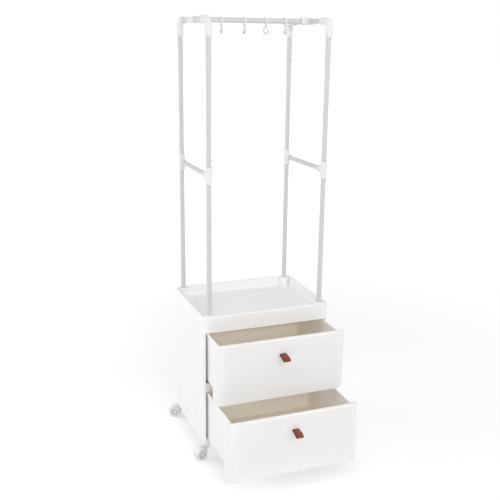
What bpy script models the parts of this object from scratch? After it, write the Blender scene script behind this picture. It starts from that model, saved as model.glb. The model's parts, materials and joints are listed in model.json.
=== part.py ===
"""Clothing rack standing on a two-drawer cabinet with castors, as separate named parts."""

import math

import bmesh
import bpy
from mathutils import Matrix, Vector

# Cabinet: metres, +Z up, front towards -Y, floor at Z = 0
CAB_W = 0.444
CAB_D = 0.336
CAB_CORNER = 0.022
BASE_Z = 0.060
BASE_T = 0.012
PANEL_T = 0.011
PANEL_TOP = 0.4481
BACK_T = 0.004
SKIN = 0.004
GAP = 0.0003
SHELF_Z = 0.2445
SHELF_T = 0.005
RAIL_T = 0.008
RAIL_H = 0.030

# Tray on top of the cabinet
TRAY_Z = 0.4485
TRAY_TOP = 0.503
TRAY_DEPTH = 0.033
TRAY_FLOOR = TRAY_TOP - TRAY_DEPTH
TRAY_RIM = 0.012
BOSS_R = 0.0155
BOSS_TOP = TRAY_TOP + 0.0015

# Drawers: the front overlaps the cabinet, the tub behind it runs on the ledges
FRONT_W = 0.444
FRONT_H = 0.200
FRONT_T = 0.032
FRONT_CORNER = 0.030
FRONT_WALL = 0.012
TUB_W = 0.407
TUB_LEN = 0.310
TUB_H = 0.163
TUB_WALL = 0.003
TUB_RAISE = 0.028
LOWER_FRONT_Z = 0.049
UPPER_FRONT_Z = 0.2545
CLOSED_GAP = 0.001
LOWER_OPEN = 0.210
UPPER_OPEN = 0.100
LEDGE_H = 0.0041

# Leather loop pull
PULL_DROP = 0.0535
PULL_HALF_W = 0.011
PULL_OUT = 0.036
PULL_IN = 0.019
PULL_HALF_T = 0.0034
PULL_DROOP = math.radians(25.0)
STRAP_T = 0.0024
RIVET_AT = 0.008

# Rack of steel tube and moulded connectors
POST_X = 0.1935
POST_Y = 0.148
TUBE_R = 0.008
TUBE_BORE = 0.007
SOCKET_R = 0.0083
CONN_R = 0.0106
BORE_STOP = 0.0095
MID_Z = 0.9525
TOP_Z = 1.410
MID_HALF = 0.026
SLEEVE = 0.048
TEE_HALF = 0.025
STUB = 0.028
ELBOW_BEND = 0.0125
POST_SEAT = TRAY_FLOOR - 0.007

# Hooks on the hanging rail
HOOK_X = (-0.103, -0.027, 0.046, 0.112)
HOOK_TURN = (90.0, 90.0, 0.0, 90.0)
RING_IN = 0.0085
RING_OUT = 0.0107
RING_W = 0.006
LUG_R = 0.0036
LUG_END = 0.0175
WIRE_R = 0.00125

# Twin-wheel castors
CASTOR_X = 0.203
CASTOR_Y = 0.150
WHEEL_R = 0.020
WHEEL_IN = 0.0043
WHEEL_OUT = 0.0133
AXLE_R = 0.0025
TRAIL = 0.026
FRONT_HEADING = math.radians(105.0)
REAR_HEADING = math.radians(60.0)

TUBE_SIDES = 14

# The open drawers reach further forward than the cabinet's back: centre the whole on Y = 0
PULL_REACH = 0.0353
REAR_REACH = 0.1853
FRONT_REACH = CAB_D / 2 + CLOSED_GAP + FRONT_T + LOWER_OPEN + PULL_REACH
CAB_Y = (FRONT_REACH - REAR_REACH) / 2

WHITE = ((0.90, 0.89, 0.89), 0.42, 0.0)
SOFT_WHITE = ((0.82, 0.81, 0.81), 0.45, 0.0)
ENAMEL = ((0.66, 0.64, 0.66), 0.38, 0.0)
CONNECTOR = ((0.84, 0.82, 0.84), 0.35, 0.0)
LEATHER = ((0.25, 0.075, 0.045), 0.62, 0.0)
STEEL = ((0.55, 0.54, 0.53), 0.30, 1.0)
TYRE = ((0.62, 0.61, 0.60), 0.50, 0.0)


def clear_scene():
    for obj in list(bpy.data.objects):
        bpy.data.objects.remove(obj, do_unlink=True)


def new_collection(name):
    collection = bpy.data.collections.new(name)
    bpy.context.scene.collection.children.link(collection)
    return collection


def finish_material(name, finish):
    colour, roughness, metallic = finish
    material = bpy.data.materials.new(name + "_finish")
    material.use_nodes = True
    shader = material.node_tree.nodes["Principled BSDF"]
    shader.inputs["Base Color"].default_value = (*colour, 1.0)
    shader.inputs["Roughness"].default_value = roughness
    shader.inputs["Metallic"].default_value = metallic
    return material


def mesh_from(bm, name):
    bmesh.ops.recalc_face_normals(bm, faces=bm.faces)
    mesh = bpy.data.meshes.new(name)
    bm.to_mesh(mesh)
    bm.free()
    return mesh


def add_part(name, mesh, finish, parent, location=(0, 0, 0), rotation=(0, 0, 0)):
    obj = bpy.data.objects.new(name, mesh)
    PARTS.objects.link(obj)
    if not mesh.materials:
        mesh.materials.append(None)
    obj.material_slots[0].link = "OBJECT"
    obj.material_slots[0].material = finish_material(name, finish)
    obj.parent = parent
    obj.location = location
    obj.rotation_euler = rotation
    mesh.shade_smooth()
    mesh.set_sharp_from_angle(angle=math.radians(35.0))
    return obj


def add_empty(name, parent, location, turn=0.0):
    empty = bpy.data.objects.new(name, None)
    PARTS.objects.link(empty)
    empty.parent = parent
    empty.location = location
    empty.rotation_euler = (0, 0, turn)
    return empty


def add_boolean(obj, mesh, operation):
    """Put a cutter, or a piece to join, on an object as a live Boolean."""
    tool = bpy.data.objects.new(obj.name + "_tool", mesh)
    CUTTERS.objects.link(tool)
    tool.hide_render = True
    tool.display_type = "WIRE"
    tool.parent = obj.parent
    tool.location = obj.location
    tool.rotation_euler = obj.rotation_euler
    modifier = obj.modifiers.new(operation.title(), "BOOLEAN")
    modifier.operation = operation
    modifier.solver = "EXACT"
    modifier.object = tool
    return tool


def baked(mesh, steps):
    """Apply a chain of Booleans and return the finished mesh, for pieces that repeat."""
    master = bpy.data.objects.new("master", mesh)
    PARTS.objects.link(master)
    tools = [add_boolean(master, tool_mesh, operation) for operation, tool_mesh in steps]
    bpy.context.view_layer.update()
    depsgraph = bpy.context.evaluated_depsgraph_get()
    result = bpy.data.meshes.new_from_object(master.evaluated_get(depsgraph))
    for obj in [master, *tools]:
        bpy.data.objects.remove(obj, do_unlink=True)
    return result


def box_mesh(x0, x1, y0, y1, z0, z1):
    bm = bmesh.new()
    centre = Vector(((x0 + x1) / 2, (y0 + y1) / 2, (z0 + z1) / 2))
    scale = Matrix.Diagonal((x1 - x0, y1 - y0, z1 - z0, 1.0))
    bmesh.ops.create_cube(bm, size=1.0, matrix=Matrix.Translation(centre) @ scale)
    return mesh_from(bm, "box")


def rounded_bm(x0, x1, y0, y1, z0, z1, radius, segments, front_only=False):
    """A box whose upright edges are rounded, all four or the front two."""
    bm = bmesh.new()
    centre = Vector(((x0 + x1) / 2, (y0 + y1) / 2, (z0 + z1) / 2))
    scale = Matrix.Diagonal((x1 - x0, y1 - y0, z1 - z0, 1.0))
    bmesh.ops.create_cube(bm, size=1.0, matrix=Matrix.Translation(centre) @ scale)
    upright = []
    for edge in bm.edges:
        low, high = edge.verts
        if abs(low.co.z - high.co.z) > 1e-6 and not (front_only and low.co.y > centre.y):
            upright.append(edge)
    bmesh.ops.bevel(bm, geom=upright, offset=radius, segments=segments, profile=0.5, affect="EDGES")
    return bm


def rounded_mesh(x0, x1, y0, y1, z0, z1, radius, segments=5, front_only=False):
    return mesh_from(rounded_bm(x0, x1, y0, y1, z0, z1, radius, segments, front_only), "rounded")


def rod_mesh(start, end, radius, sides=TUBE_SIDES):
    """A solid round bar between two points."""
    start = Vector(start)
    span = Vector(end) - start
    turn = span.to_track_quat("Z", "Y").to_matrix().to_4x4()
    bm = bmesh.new()
    bmesh.ops.create_cone(
        bm,
        cap_ends=True,
        segments=sides,
        radius1=radius,
        radius2=radius,
        depth=span.length,
        matrix=Matrix.Translation(start + span / 2) @ turn,
    )
    return mesh_from(bm, "rod")


def turned_mesh(profile, axis, sides, closed=False):
    """Turn (radius, along) points about X or Z; a closed profile makes a ring."""
    bm = bmesh.new()
    verts = []
    for radius, along in profile:
        place = (along, 0.0, radius) if axis == "X" else (radius, 0.0, along)
        verts.append(bm.verts.new(place))
    pairs = list(zip(verts, verts[1:]))
    if closed:
        pairs.append((verts[-1], verts[0]))
    edges = [bm.edges.new(pair) for pair in pairs]
    bmesh.ops.spin(
        bm,
        geom=verts + edges,
        cent=(0, 0, 0),
        axis=(1, 0, 0) if axis == "X" else (0, 0, 1),
        angle=2 * math.pi,
        steps=sides,
        use_merge=False,
        use_duplicate=False,
    )
    bmesh.ops.remove_doubles(bm, verts=bm.verts, dist=1e-6)
    return mesh_from(bm, "turned")


def tube_mesh(start, end):
    """A steel tube with open ends, between two points."""
    start = Vector(start)
    span = Vector(end) - start
    half = span.length / 2
    ring = ((TUBE_BORE, -half), (TUBE_R, -half), (TUBE_R, half), (TUBE_BORE, half))
    mesh = turned_mesh(ring, "Z", TUBE_SIDES, closed=True)
    turn = span.to_track_quat("Z", "Y").to_matrix().to_4x4()
    mesh.transform(Matrix.Translation(start + span / 2) @ turn)
    return mesh


def sliced_mesh(bm, point, normal):
    """Cut away the side that the normal points to and close the cut."""
    geom = list(bm.verts) + list(bm.edges) + list(bm.faces)
    bmesh.ops.bisect_plane(bm, geom=geom, plane_co=point, plane_no=normal, clear_outer=True)
    bmesh.ops.holes_fill(bm, edges=[edge for edge in bm.edges if edge.is_boundary])
    return mesh_from(bm, "sliced")


def swept_mesh(points, radius, resolution):
    """A closed round bar along (place, radius factor) points."""
    data = bpy.data.curves.new("swept", "CURVE")
    data.dimensions = "3D"
    data.fill_mode = "FULL"
    data.bevel_depth = radius
    data.bevel_resolution = resolution
    data.use_fill_caps = True
    spline = data.splines.new("POLY")
    spline.points.add(len(points) - 1)
    for point, (place, factor) in zip(spline.points, points):
        point.co = (*place, 1.0)
        point.radius = factor
    return mesh_from(welded_bm(data), "swept")


def welded_bm(data):
    """A curve's evaluated mesh with its caps welded on."""
    curve = bpy.data.objects.new("curve", data)
    PARTS.objects.link(curve)
    bpy.context.view_layer.update()
    depsgraph = bpy.context.evaluated_depsgraph_get()
    mesh = bpy.data.meshes.new_from_object(curve.evaluated_get(depsgraph))
    bpy.data.objects.remove(curve, do_unlink=True)
    bm = bmesh.new()
    bm.from_mesh(mesh)
    bmesh.ops.remove_doubles(bm, verts=bm.verts, dist=1e-6)
    return bm


def build_cabinet(root):
    half_w = CAB_W / 2
    half_d = CAB_D / 2
    inner = half_w - PANEL_T
    back_y = half_d - BACK_T - 0.0038
    base = add_part(
        "base_panel",
        box_mesh(-inner + GAP, inner - GAP, -half_d + 0.0025, back_y - GAP, BASE_Z, BASE_Z + BASE_T),
        WHITE,
        root,
    )
    hollow = box_mesh(-0.186, 0.186, -0.132, 0.132, BASE_Z - 0.01, BASE_Z + BASE_T - SKIN)
    add_boolean(base, hollow, "DIFFERENCE")
    for x in (-CASTOR_X, CASTOR_X):
        for y in (-CASTOR_Y, CASTOR_Y):
            add_boolean(base, rod_mesh((x, y, BASE_Z - 0.01), (x, y, BASE_Z + 0.03), 0.0053, 12), "DIFFERENCE")
    for name, side in (("left_side_panel", -1), ("right_side_panel", 1)):
        shell = rounded_bm(-half_w, half_w, -half_d, half_d, BASE_Z, PANEL_TOP, CAB_CORNER, 8)
        panel = add_part(name, sliced_mesh(shell, (side * inner, 0, 0), (-side, 0, 0)), WHITE, root)
        ends = sorted((side * (inner - 0.01), side * (half_w - SKIN)))
        hollow = box_mesh(*ends, -half_d + 0.020, half_d - 0.020, BASE_Z + BASE_T, PANEL_TOP - 0.010)
        add_boolean(panel, hollow, "DIFFERENCE")
        for front_z in (LOWER_FRONT_Z, UPPER_FRONT_Z):
            top = front_z + TUB_RAISE - 0.0004
            ends = sorted((side * (half_w - SKIN / 2), side * (TUB_W / 2 + 0.001)))
            ledge = box_mesh(*ends, -half_d + 0.018, half_d - 0.018, top - LEDGE_H, top)
            add_boolean(panel, ledge, "UNION")
    add_part(
        "back_panel",
        box_mesh(-inner + GAP, inner - GAP, back_y, back_y + BACK_T, BASE_Z + 0.0005, PANEL_TOP),
        WHITE,
        root,
    )
    shelf = add_part(
        "middle_shelf",
        box_mesh(-inner + GAP, inner - GAP, -half_d + 0.0025, back_y - GAP, SHELF_Z, SHELF_Z + SHELF_T),
        WHITE,
        root,
    )
    rail = box_mesh(
        -inner + GAP,
        inner - GAP,
        -half_d + 0.0025,
        -half_d + 0.0025 + RAIL_T,
        SHELF_Z + SHELF_T / 2,
        SHELF_Z + RAIL_H,
    )
    add_boolean(shelf, rail, "UNION")
    tray = add_part(
        "top_tray",
        rounded_mesh(-half_w, half_w, -half_d, half_d, TRAY_Z, TRAY_TOP, CAB_CORNER, 8),
        SOFT_WHITE,
        root,
    )
    rim_x = half_w - TRAY_RIM
    rim_y = half_d - TRAY_RIM
    recess = rounded_mesh(-rim_x, rim_x, -rim_y, rim_y, TRAY_FLOOR, TRAY_TOP + 0.02, 0.012, 5)
    add_boolean(tray, recess, "DIFFERENCE")
    underside = rounded_mesh(-0.176, 0.176, -0.154, 0.154, TRAY_Z - 0.01, TRAY_FLOOR - 0.004, 0.01, 3)
    add_boolean(tray, underside, "DIFFERENCE")
    for x in (-POST_X, POST_X):
        for y in (-POST_Y, POST_Y):
            add_boolean(tray, rod_mesh((x, y, TRAY_FLOOR - 0.002), (x, y, BOSS_TOP), BOSS_R, 18), "UNION")
    for x in (-POST_X, POST_X):
        for y in (-POST_Y, POST_Y):
            add_boolean(tray, rod_mesh((x, y, POST_SEAT), (x, y, BOSS_TOP + 0.01), SOCKET_R), "DIFFERENCE")


def drawer_tools():
    """The drawer's outer blank and the pieces that are joined to it or cut from it, about its front's back."""
    half_f = FRONT_W / 2
    half_t = TUB_W / 2
    rim = TUB_RAISE + TUB_H
    floor = TUB_RAISE + TUB_WALL
    blank = rounded_mesh(-half_f, half_f, -FRONT_T, 0.0, 0.0, FRONT_H, FRONT_CORNER, 8, front_only=True)
    steps = [("UNION", box_mesh(-half_t, half_t, -0.002, TUB_LEN, TUB_RAISE, rim))]
    for side in (-1, 1):
        ends = sorted((side * (half_t - 0.001), side * (half_t + 0.006)))
        steps.append(("UNION", box_mesh(*ends, 0.012, TUB_LEN - 0.002, TUB_RAISE, TUB_RAISE + 0.006)))
    inside = half_t - TUB_WALL
    back = TUB_LEN - TUB_WALL
    front = -FRONT_T + FRONT_WALL
    steps.append(("DIFFERENCE", rounded_mesh(-inside, inside, front, back, floor, FRONT_H + 0.02, 0.012, 4)))
    steps.append(("DIFFERENCE", rounded_mesh(-0.212, 0.212, front, -0.003, floor, FRONT_H + 0.02, 0.008, 4)))
    steps.append(("DIFFERENCE", box_mesh(-0.19, 0.19, -0.0295, -0.006, -0.01, TUB_RAISE - 0.004)))
    steps.append(("DIFFERENCE", box_mesh(-0.19, 0.19, -0.0295, front - 0.0025, -0.01, FRONT_H - 0.006)))
    slot_z = FRONT_H - PULL_DROP
    slot = box_mesh(
        -PULL_HALF_W - 0.0005,
        PULL_HALF_W + 0.0005,
        -FRONT_T - 0.01,
        front + 0.005,
        slot_z - 0.0045,
        slot_z + 0.0045,
    )
    steps.append(("DIFFERENCE", slot))
    return blank, steps


def strap_point(s):
    """Centre line of the pull: straight through the front, then bending down outside it."""
    if s <= 0.0:
        return Vector((s, 0.0)), Vector((0.0, 1.0))
    radius = PULL_OUT / PULL_DROOP
    angle = s / radius
    centre = Vector((radius * math.sin(angle), -radius * (1.0 - math.cos(angle))))
    return centre, Vector((math.sin(angle), math.cos(angle)))


def strap_outline(stations, half):
    """A band about the centre line with round ends; half gives its half thickness at s."""
    upper = []
    lower = []
    for s in stations:
        thick = half(s)
        near = min(s - stations[0], stations[-1] - s)
        if near < thick:
            thick = math.sqrt(max(thick * thick - (thick - near) ** 2, 0.0))
        centre, normal = strap_point(s)
        upper.append(centre + normal * thick)
        lower.append(centre - normal * thick)
    return upper + lower[-2:0:-1]


def eased(start, end, count):
    """Stations from start to end, closer together at both ends."""
    return [start + (end - start) * (0.5 - 0.5 * math.cos(math.pi * k / count)) for k in range(count + 1)]


def pull_mesh():
    """The folded strap: an outline with its loop and its pin eye open, extruded to the strap's width."""

    def outer(s):
        if s < -0.012:
            return 0.0040
        return PULL_HALF_T + 0.0018 * max(0.0, min(1.0, (s - 0.010) / 0.014))

    def loop(s):
        return max(0.0003, outer(s) - STRAP_T)

    data = bpy.data.curves.new("strap", "CURVE")
    data.dimensions = "2D"
    data.fill_mode = "BOTH"
    data.extrude = PULL_HALF_W
    behind = eased(-PULL_IN, -0.0155, 5)
    outlines = [strap_outline(behind + [-0.0125, -0.0110] + eased(0.0, PULL_OUT, 16), outer)]
    outlines.append(strap_outline(eased(0.0145, PULL_OUT - STRAP_T, 10), loop))
    eye = [(-0.015 + 0.0018 * math.cos(a), 0.0018 * math.sin(a)) for a in (math.pi * k / 5 for k in range(10))]
    outlines.append([Vector(point) for point in eye])
    for outline in outlines:
        spline = data.splines.new("POLY")
        spline.points.add(len(outline) - 1)
        for point, place in zip(spline.points, outline):
            point.co = (place.x, place.y, 0.0, 1.0)
        spline.use_cyclic_u = True
    bm = welded_bm(data)
    out_and_up = Matrix(((0, 0, 1, 0), (-1, 0, 0, 0), (0, 1, 0, 0), (0, 0, 0, 1)))
    bmesh.ops.transform(bm, matrix=out_and_up, verts=bm.verts)
    return mesh_from(bm, "strap")


def rivet_place():
    centre, normal = strap_point(RIVET_AT)
    place = Vector((0.0, -centre.x, centre.y))
    direction = Vector((0.0, -normal.x, normal.y))
    return place, direction


def rivet_mesh():
    """A rivet with a domed head on each side of the strap, about its own middle."""
    seat = PULL_HALF_T + 2 * GAP
    head = 0.0034
    profile = [(0.0, seat + 0.0012), (head * 0.6, seat + 0.001), (head, seat + 0.0004), (head, seat)]
    profile.append((0.0013, seat))
    profile += [(radius, -along) for radius, along in reversed(profile)]
    mesh = turned_mesh(profile, "Z", 10)
    place, direction = rivet_place()
    mesh.transform(Matrix.Translation(place) @ direction.to_track_quat("Z", "Y").to_matrix().to_4x4())
    return mesh


def build_drawers(root):
    blank, steps = drawer_tools()
    drawer = baked(blank, steps)
    place, direction = rivet_place()
    hole = rod_mesh(place - direction * 0.01, place + direction * 0.01, 0.0017, 12)
    strap = baked(pull_mesh(), [("DIFFERENCE", hole)])
    rivet = rivet_mesh()
    pin = rod_mesh((-0.015, 0.015, 0.0), (0.015, 0.015, 0.0), 0.0014, 10)
    for name, front_z, opened in (
        ("upper", UPPER_FRONT_Z, UPPER_OPEN),
        ("lower", LOWER_FRONT_Z, LOWER_OPEN),
    ):
        slide = add_empty(name + "_drawer_slide", root, (0, -CAB_D / 2 - CLOSED_GAP - opened, front_z))
        root_of_pull = (0, -FRONT_T, FRONT_H - PULL_DROP)
        add_part(name + "_drawer", drawer, WHITE, slide)
        add_part(name + "_pull", strap, LEATHER, slide, root_of_pull)
        add_part(name + "_pull_rivet", rivet, STEEL, slide, root_of_pull)
        add_part(name + "_pull_pin", pin, STEEL, slide, root_of_pull)


def tee_mesh(half, stub):
    """A sleeve along Z with a stub along +X; three blind bores that stop short of each other."""
    steps = [("UNION", rod_mesh((0, 0, 0), (stub, 0, 0), CONN_R - 0.0002))]
    steps.append(("DIFFERENCE", rod_mesh((0, 0, 0.003), (0, 0, half + 0.01), SOCKET_R)))
    steps.append(("DIFFERENCE", rod_mesh((0, 0, -0.003), (0, 0, -half - 0.01), SOCKET_R)))
    steps.append(("DIFFERENCE", rod_mesh((BORE_STOP, 0, 0), (stub + 0.01, 0, 0), SOCKET_R)))
    return baked(rod_mesh((0, 0, -half), (0, 0, half), CONN_R), steps)


def elbow_mesh():
    """A bent sleeve, down and along +X, with a blind bore in each leg."""
    path = [((0.0, 0.0, -SLEEVE), 1.0)]
    for step in range(0, 5):
        angle = math.pi / 2 * step / 4
        path.append(((ELBOW_BEND * (1.0 - math.cos(angle)), 0.0, ELBOW_BEND * (math.sin(angle) - 1.0)), 1.0))
    path.append(((SLEEVE, 0.0, 0.0), 1.0))
    steps = [("DIFFERENCE", rod_mesh((0, 0, -BORE_STOP), (0, 0, -SLEEVE - 0.01), SOCKET_R))]
    steps.append(("DIFFERENCE", rod_mesh((BORE_STOP, 0, 0), (SLEEVE + 0.01, 0, 0), SOCKET_R)))
    return baked(swept_mesh(path, CONN_R, 5), steps)


def build_rack(root):
    mid_tee = tee_mesh(MID_HALF, STUB)
    top_tee = tee_mesh(TEE_HALF, STUB)
    elbow = elbow_mesh()
    stop = BORE_STOP + 0.0005
    web = 0.0035
    lower = tube_mesh((0, 0, POST_SEAT + 0.0005), (0, 0, MID_Z - web))
    upper = tube_mesh((0, 0, MID_Z + web), (0, 0, TOP_Z - stop))
    half_bar = tube_mesh((0, web, 0), (0, POST_Y - stop, 0))
    side_bar = tube_mesh((0, -POST_Y + stop, 0), (0, POST_Y - stop, 0))
    for side, x in (("left", -POST_X), ("right", POST_X)):
        for end, y in (("front", -POST_Y), ("rear", POST_Y)):
            name = f"{side}_{end}"
            inward = math.pi / 2 if y < 0 else -math.pi / 2
            add_part(name + "_lower_post", lower, ENAMEL, root, (x, y, 0))
            add_part(name + "_upper_post", upper, ENAMEL, root, (x, y, 0))
            add_part(name + "_mid_connector", mid_tee, CONNECTOR, root, (x, y, MID_Z), (0, 0, inward))
            add_part(name + "_top_elbow", elbow, CONNECTOR, root, (x, y, TOP_Z), (0, 0, inward))
            turn = math.pi if y < 0 else 0.0
            add_part(f"{side}_top_{end}_bar", half_bar, ENAMEL, root, (x, 0, TOP_Z), (0, 0, turn))
        add_part(side + "_mid_side_bar", side_bar, ENAMEL, root, (x, 0, MID_Z))
        turn = (math.pi / 2, 0, 0) if x < 0 else (math.pi / 2, 0, math.pi)
        add_part(side + "_top_tee", top_tee, CONNECTOR, root, (x, 0, TOP_Z), turn)
    reach = POST_X - stop
    add_part("hanging_rail", tube_mesh((-reach, 0, 0), (reach, 0, 0)), ENAMEL, root, (0, 0, TOP_Z))


def hook_ring_mesh():
    """A band round the rail with a lug under it; the lug holds the hook's bead in an undercut."""
    half = RING_W / 2
    band = turned_mesh(
        ((RING_IN, -half), (RING_OUT, -half), (RING_OUT, half), (RING_IN, half)), "X", 20, closed=True
    )
    pocket = turned_mesh(
        (
            (0.0, -0.0112),
            (0.0027, -0.0112),
            (0.0027, -0.0158),
            (0.0017, -0.0166),
            (0.0017, -LUG_END - 0.001),
            (0.0, -LUG_END - 0.001),
        ),
        "Z",
        10,
    )
    lug = rod_mesh((0, 0, -0.0093), (0, 0, -LUG_END), LUG_R, 12)
    return baked(band, [("UNION", lug), ("DIFFERENCE", pocket)])


def hook_mesh():
    """A wire hook: bead in the lug, shank, a sweep to one side, a round bowl and a short tip."""
    points = []
    for along, radius in (
        (-0.0117, 0.45),
        (-0.0121, 1.2),
        (-0.0129, 1.72),
        (-0.0137, 1.72),
        (-0.0145, 1.2),
        (-0.0152, 1.0),
        (-0.0196, 1.0),
    ):
        points.append((0.0, along, radius))
    for step in range(1, 6):
        t = step / 5
        points.append((-0.00375 * (1.0 - math.cos(math.pi * t)), -0.0196 - 0.0094 * t, 1.0))
    for step in range(0, 9):
        angle = math.pi + math.pi * step / 8
        points.append((0.0075 * math.cos(angle), -0.0317 + 0.0075 * math.sin(angle), 1.0))
    points.append((0.0078, -0.0290, 1.0))
    points.append((0.0084, -0.0268, 0.9))
    return swept_mesh([((x, 0.0, z), radius) for x, z, radius in points], WIRE_R, 1)


def build_hooks(root):
    ring = hook_ring_mesh()
    hook = hook_mesh()
    for number, (x, turn) in enumerate(zip(HOOK_X, HOOK_TURN), start=1):
        slide = add_empty(f"hook_{number}_slide", root, (x, 0, TOP_Z))
        add_part(f"hook_ring_{number}", ring, CONNECTOR, slide)
        add_part(f"j_hook_{number}", hook, CONNECTOR, slide, (0, 0, 0), (0, 0, math.radians(turn)))


def housing_mesh():
    """Castor body about its stem: a web and arm between the wheels, a hood over them, a neck and the stem."""
    axle = Vector((0, TRAIL, WHEEL_R))
    hood = bmesh.new()
    flat = Matrix.Translation(axle) @ Matrix.Rotation(math.pi / 2, 4, "Y")
    bmesh.ops.create_cone(
        hood, cap_ends=True, segments=24, radius1=0.0225, radius2=0.0225, depth=0.027, matrix=flat
    )
    web = bmesh.new()
    bmesh.ops.create_cone(
        web, cap_ends=True, segments=20, radius1=0.0216, radius2=0.0216, depth=0.008, matrix=flat
    )
    steps = [("UNION", sliced_mesh(web, (0, 0, 0.0125), (0, 0, -1)))]
    steps.append(("UNION", box_mesh(-0.004, 0.004, -0.005, TRAIL, 0.032, 0.0455)))
    steps.append(("UNION", rod_mesh((0, 0, 0.034), (0, 0, 0.056), 0.008, 14)))
    steps.append(("UNION", rod_mesh((0, 0, 0.054), (0, 0, 0.0715), 0.0028, 10)))
    for ends in ((0.004, 0.02), (-0.02, -0.004)):
        steps.append(
            ("DIFFERENCE", rod_mesh((ends[0], *axle.yz), (ends[1], *axle.yz), WHEEL_R + 0.0008, 24))
        )
    steps.append(("DIFFERENCE", rod_mesh((-0.02, *axle.yz), (0.02, *axle.yz), AXLE_R + 0.0003, 12)))
    return baked(sliced_mesh(hood, (0, 0, 0.027), (0, 0, -1)), steps)


def wheelset_mesh():
    """Two wheels turned in one with their axle, about the axle's middle."""
    outer = [(0.0, WHEEL_OUT - 0.001), (0.0100, WHEEL_OUT - 0.001), (0.0120, WHEEL_OUT)]
    outer += [(0.0180, WHEEL_OUT), (WHEEL_R, WHEEL_OUT - 0.002)]
    outer += [(WHEEL_R, WHEEL_IN), (AXLE_R, WHEEL_IN)]
    profile = outer + [(radius, -along) for radius, along in reversed(outer)]
    return turned_mesh(profile, "X", 24)


def castor_socket_mesh():
    bore = 0.0032
    sleeve = 0.0049
    flange = 0.0085
    under = BASE_Z - 0.0035
    seat = BASE_Z - GAP
    top = BASE_Z + 0.0122
    profile = (
        (bore, under), (flange, under), (flange, seat), (sleeve, seat), (sleeve, top), (bore, top)
    )
    return turned_mesh(profile, "Z", 14, closed=True)


def build_castors(root):
    housing = housing_mesh()
    wheelset = wheelset_mesh()
    socket = castor_socket_mesh()
    for side, x in (("left", -CASTOR_X), ("right", CASTOR_X)):
        for end, y, heading in (("front", -CASTOR_Y, FRONT_HEADING), ("rear", CASTOR_Y, REAR_HEADING)):
            name = f"{side}_{end}"
            swivel = add_empty(name + "_castor_swivel", root, (x, y, 0), heading if x < 0 else -heading)
            add_part(name + "_castor_socket", socket, CONNECTOR, root, (x, y, 0))
            add_part(name + "_castor_housing", housing, CONNECTOR, swivel)
            add_part(name + "_castor_wheels", wheelset, TYRE, swivel, (0, TRAIL, WHEEL_R))


clear_scene()
PARTS = new_collection("clothing_rack_with_drawers")
CUTTERS = new_collection("cutters")
ROOT = add_empty("clothing_rack", None, (0, CAB_Y, 0))
build_cabinet(ROOT)
build_drawers(ROOT)
build_rack(ROOT)
build_hooks(ROOT)
build_castors(ROOT)
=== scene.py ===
"""Clothing rack with drawers: the finished pieces, built round the packed frame as an add-on."""

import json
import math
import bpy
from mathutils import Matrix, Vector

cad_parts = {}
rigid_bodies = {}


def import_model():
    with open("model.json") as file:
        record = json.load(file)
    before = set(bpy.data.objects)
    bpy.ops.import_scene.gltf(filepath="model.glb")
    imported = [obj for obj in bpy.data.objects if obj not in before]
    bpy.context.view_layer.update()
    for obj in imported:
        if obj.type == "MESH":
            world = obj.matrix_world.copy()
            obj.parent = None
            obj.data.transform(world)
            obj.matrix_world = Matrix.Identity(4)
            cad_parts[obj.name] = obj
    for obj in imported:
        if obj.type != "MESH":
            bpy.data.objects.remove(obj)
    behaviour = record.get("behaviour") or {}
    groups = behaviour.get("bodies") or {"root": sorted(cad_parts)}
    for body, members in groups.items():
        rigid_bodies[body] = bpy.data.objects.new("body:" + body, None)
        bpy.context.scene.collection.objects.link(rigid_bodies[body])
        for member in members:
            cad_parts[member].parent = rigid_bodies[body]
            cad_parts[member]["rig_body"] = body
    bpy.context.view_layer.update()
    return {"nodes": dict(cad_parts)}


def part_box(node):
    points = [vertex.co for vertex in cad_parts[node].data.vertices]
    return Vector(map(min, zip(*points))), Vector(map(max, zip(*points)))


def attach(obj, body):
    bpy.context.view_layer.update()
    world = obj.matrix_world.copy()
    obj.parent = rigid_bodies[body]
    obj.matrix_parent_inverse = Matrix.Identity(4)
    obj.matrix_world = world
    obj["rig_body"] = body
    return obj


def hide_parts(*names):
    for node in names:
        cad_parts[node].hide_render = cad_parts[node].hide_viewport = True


bl_info = {
    "name": "Clothing Rack with Drawers",
    "version": (1, 0, 0),
    "blender": (4, 5, 0),
    "location": "3D View > Sidebar > Clothing Rack",
    "description": "Makes the moulded, enamelled and leather pieces of a rolling clothing rack",
    "category": "Object",
}

import bmesh
import bpy
from bpy.props import FloatProperty, FloatVectorProperty, PointerProperty
from mathutils import Matrix, Vector

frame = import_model()

X, Y, Z = range(3)
SIDES = {"left": -1, "right": 1}
ENDS = {"front": -1, "rear": 1}
CORNERS = [(side, end) for side in SIDES for end in ENDS]
DRAWERS = ("upper", "lower")
HOOKS = (1, 2, 3, 4)
QUARTER = math.pi / 2

# Edges whose faces meet at more than this angle are sharp
SHARP = math.radians(32.0)

# A cutter reaches this far past what it cuts
PAST = 0.01

# Steps of the cabinet's upright corners, the same on the panels and the tray
CORNER_STEPS = 14

# Heights closer than NEAR are level, and points closer than MERGE are one
NEAR = 1e-5
MERGE = 1e-6


def centre(node):
    """Middle of the box round a CAD node."""
    return sum(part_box(node), Vector()) / 2


# Places that the frame gives
TRAY_LOW, TRAY_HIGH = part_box("top_tray")
PANEL_LOW, PANEL_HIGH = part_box("left_side_panel")
CABINET_Y = centre("top_tray").y
HALF_WIDTH = TRAY_HIGH.x
HALF_DEPTH = TRAY_HIGH.y - CABINET_Y
RAIL = centre("hanging_rail")
MID_Z = centre("left_front_mid_connector").z


def length(name, default, description):
    return FloatProperty(
        name=name, description=description, default=default, min=0.0, precision=4, unit="LENGTH"
    )


def colour(name, default, description):
    return FloatVectorProperty(
        name=name, description=description, default=default, min=0.0, max=1.0, subtype="COLOR"
    )


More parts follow.
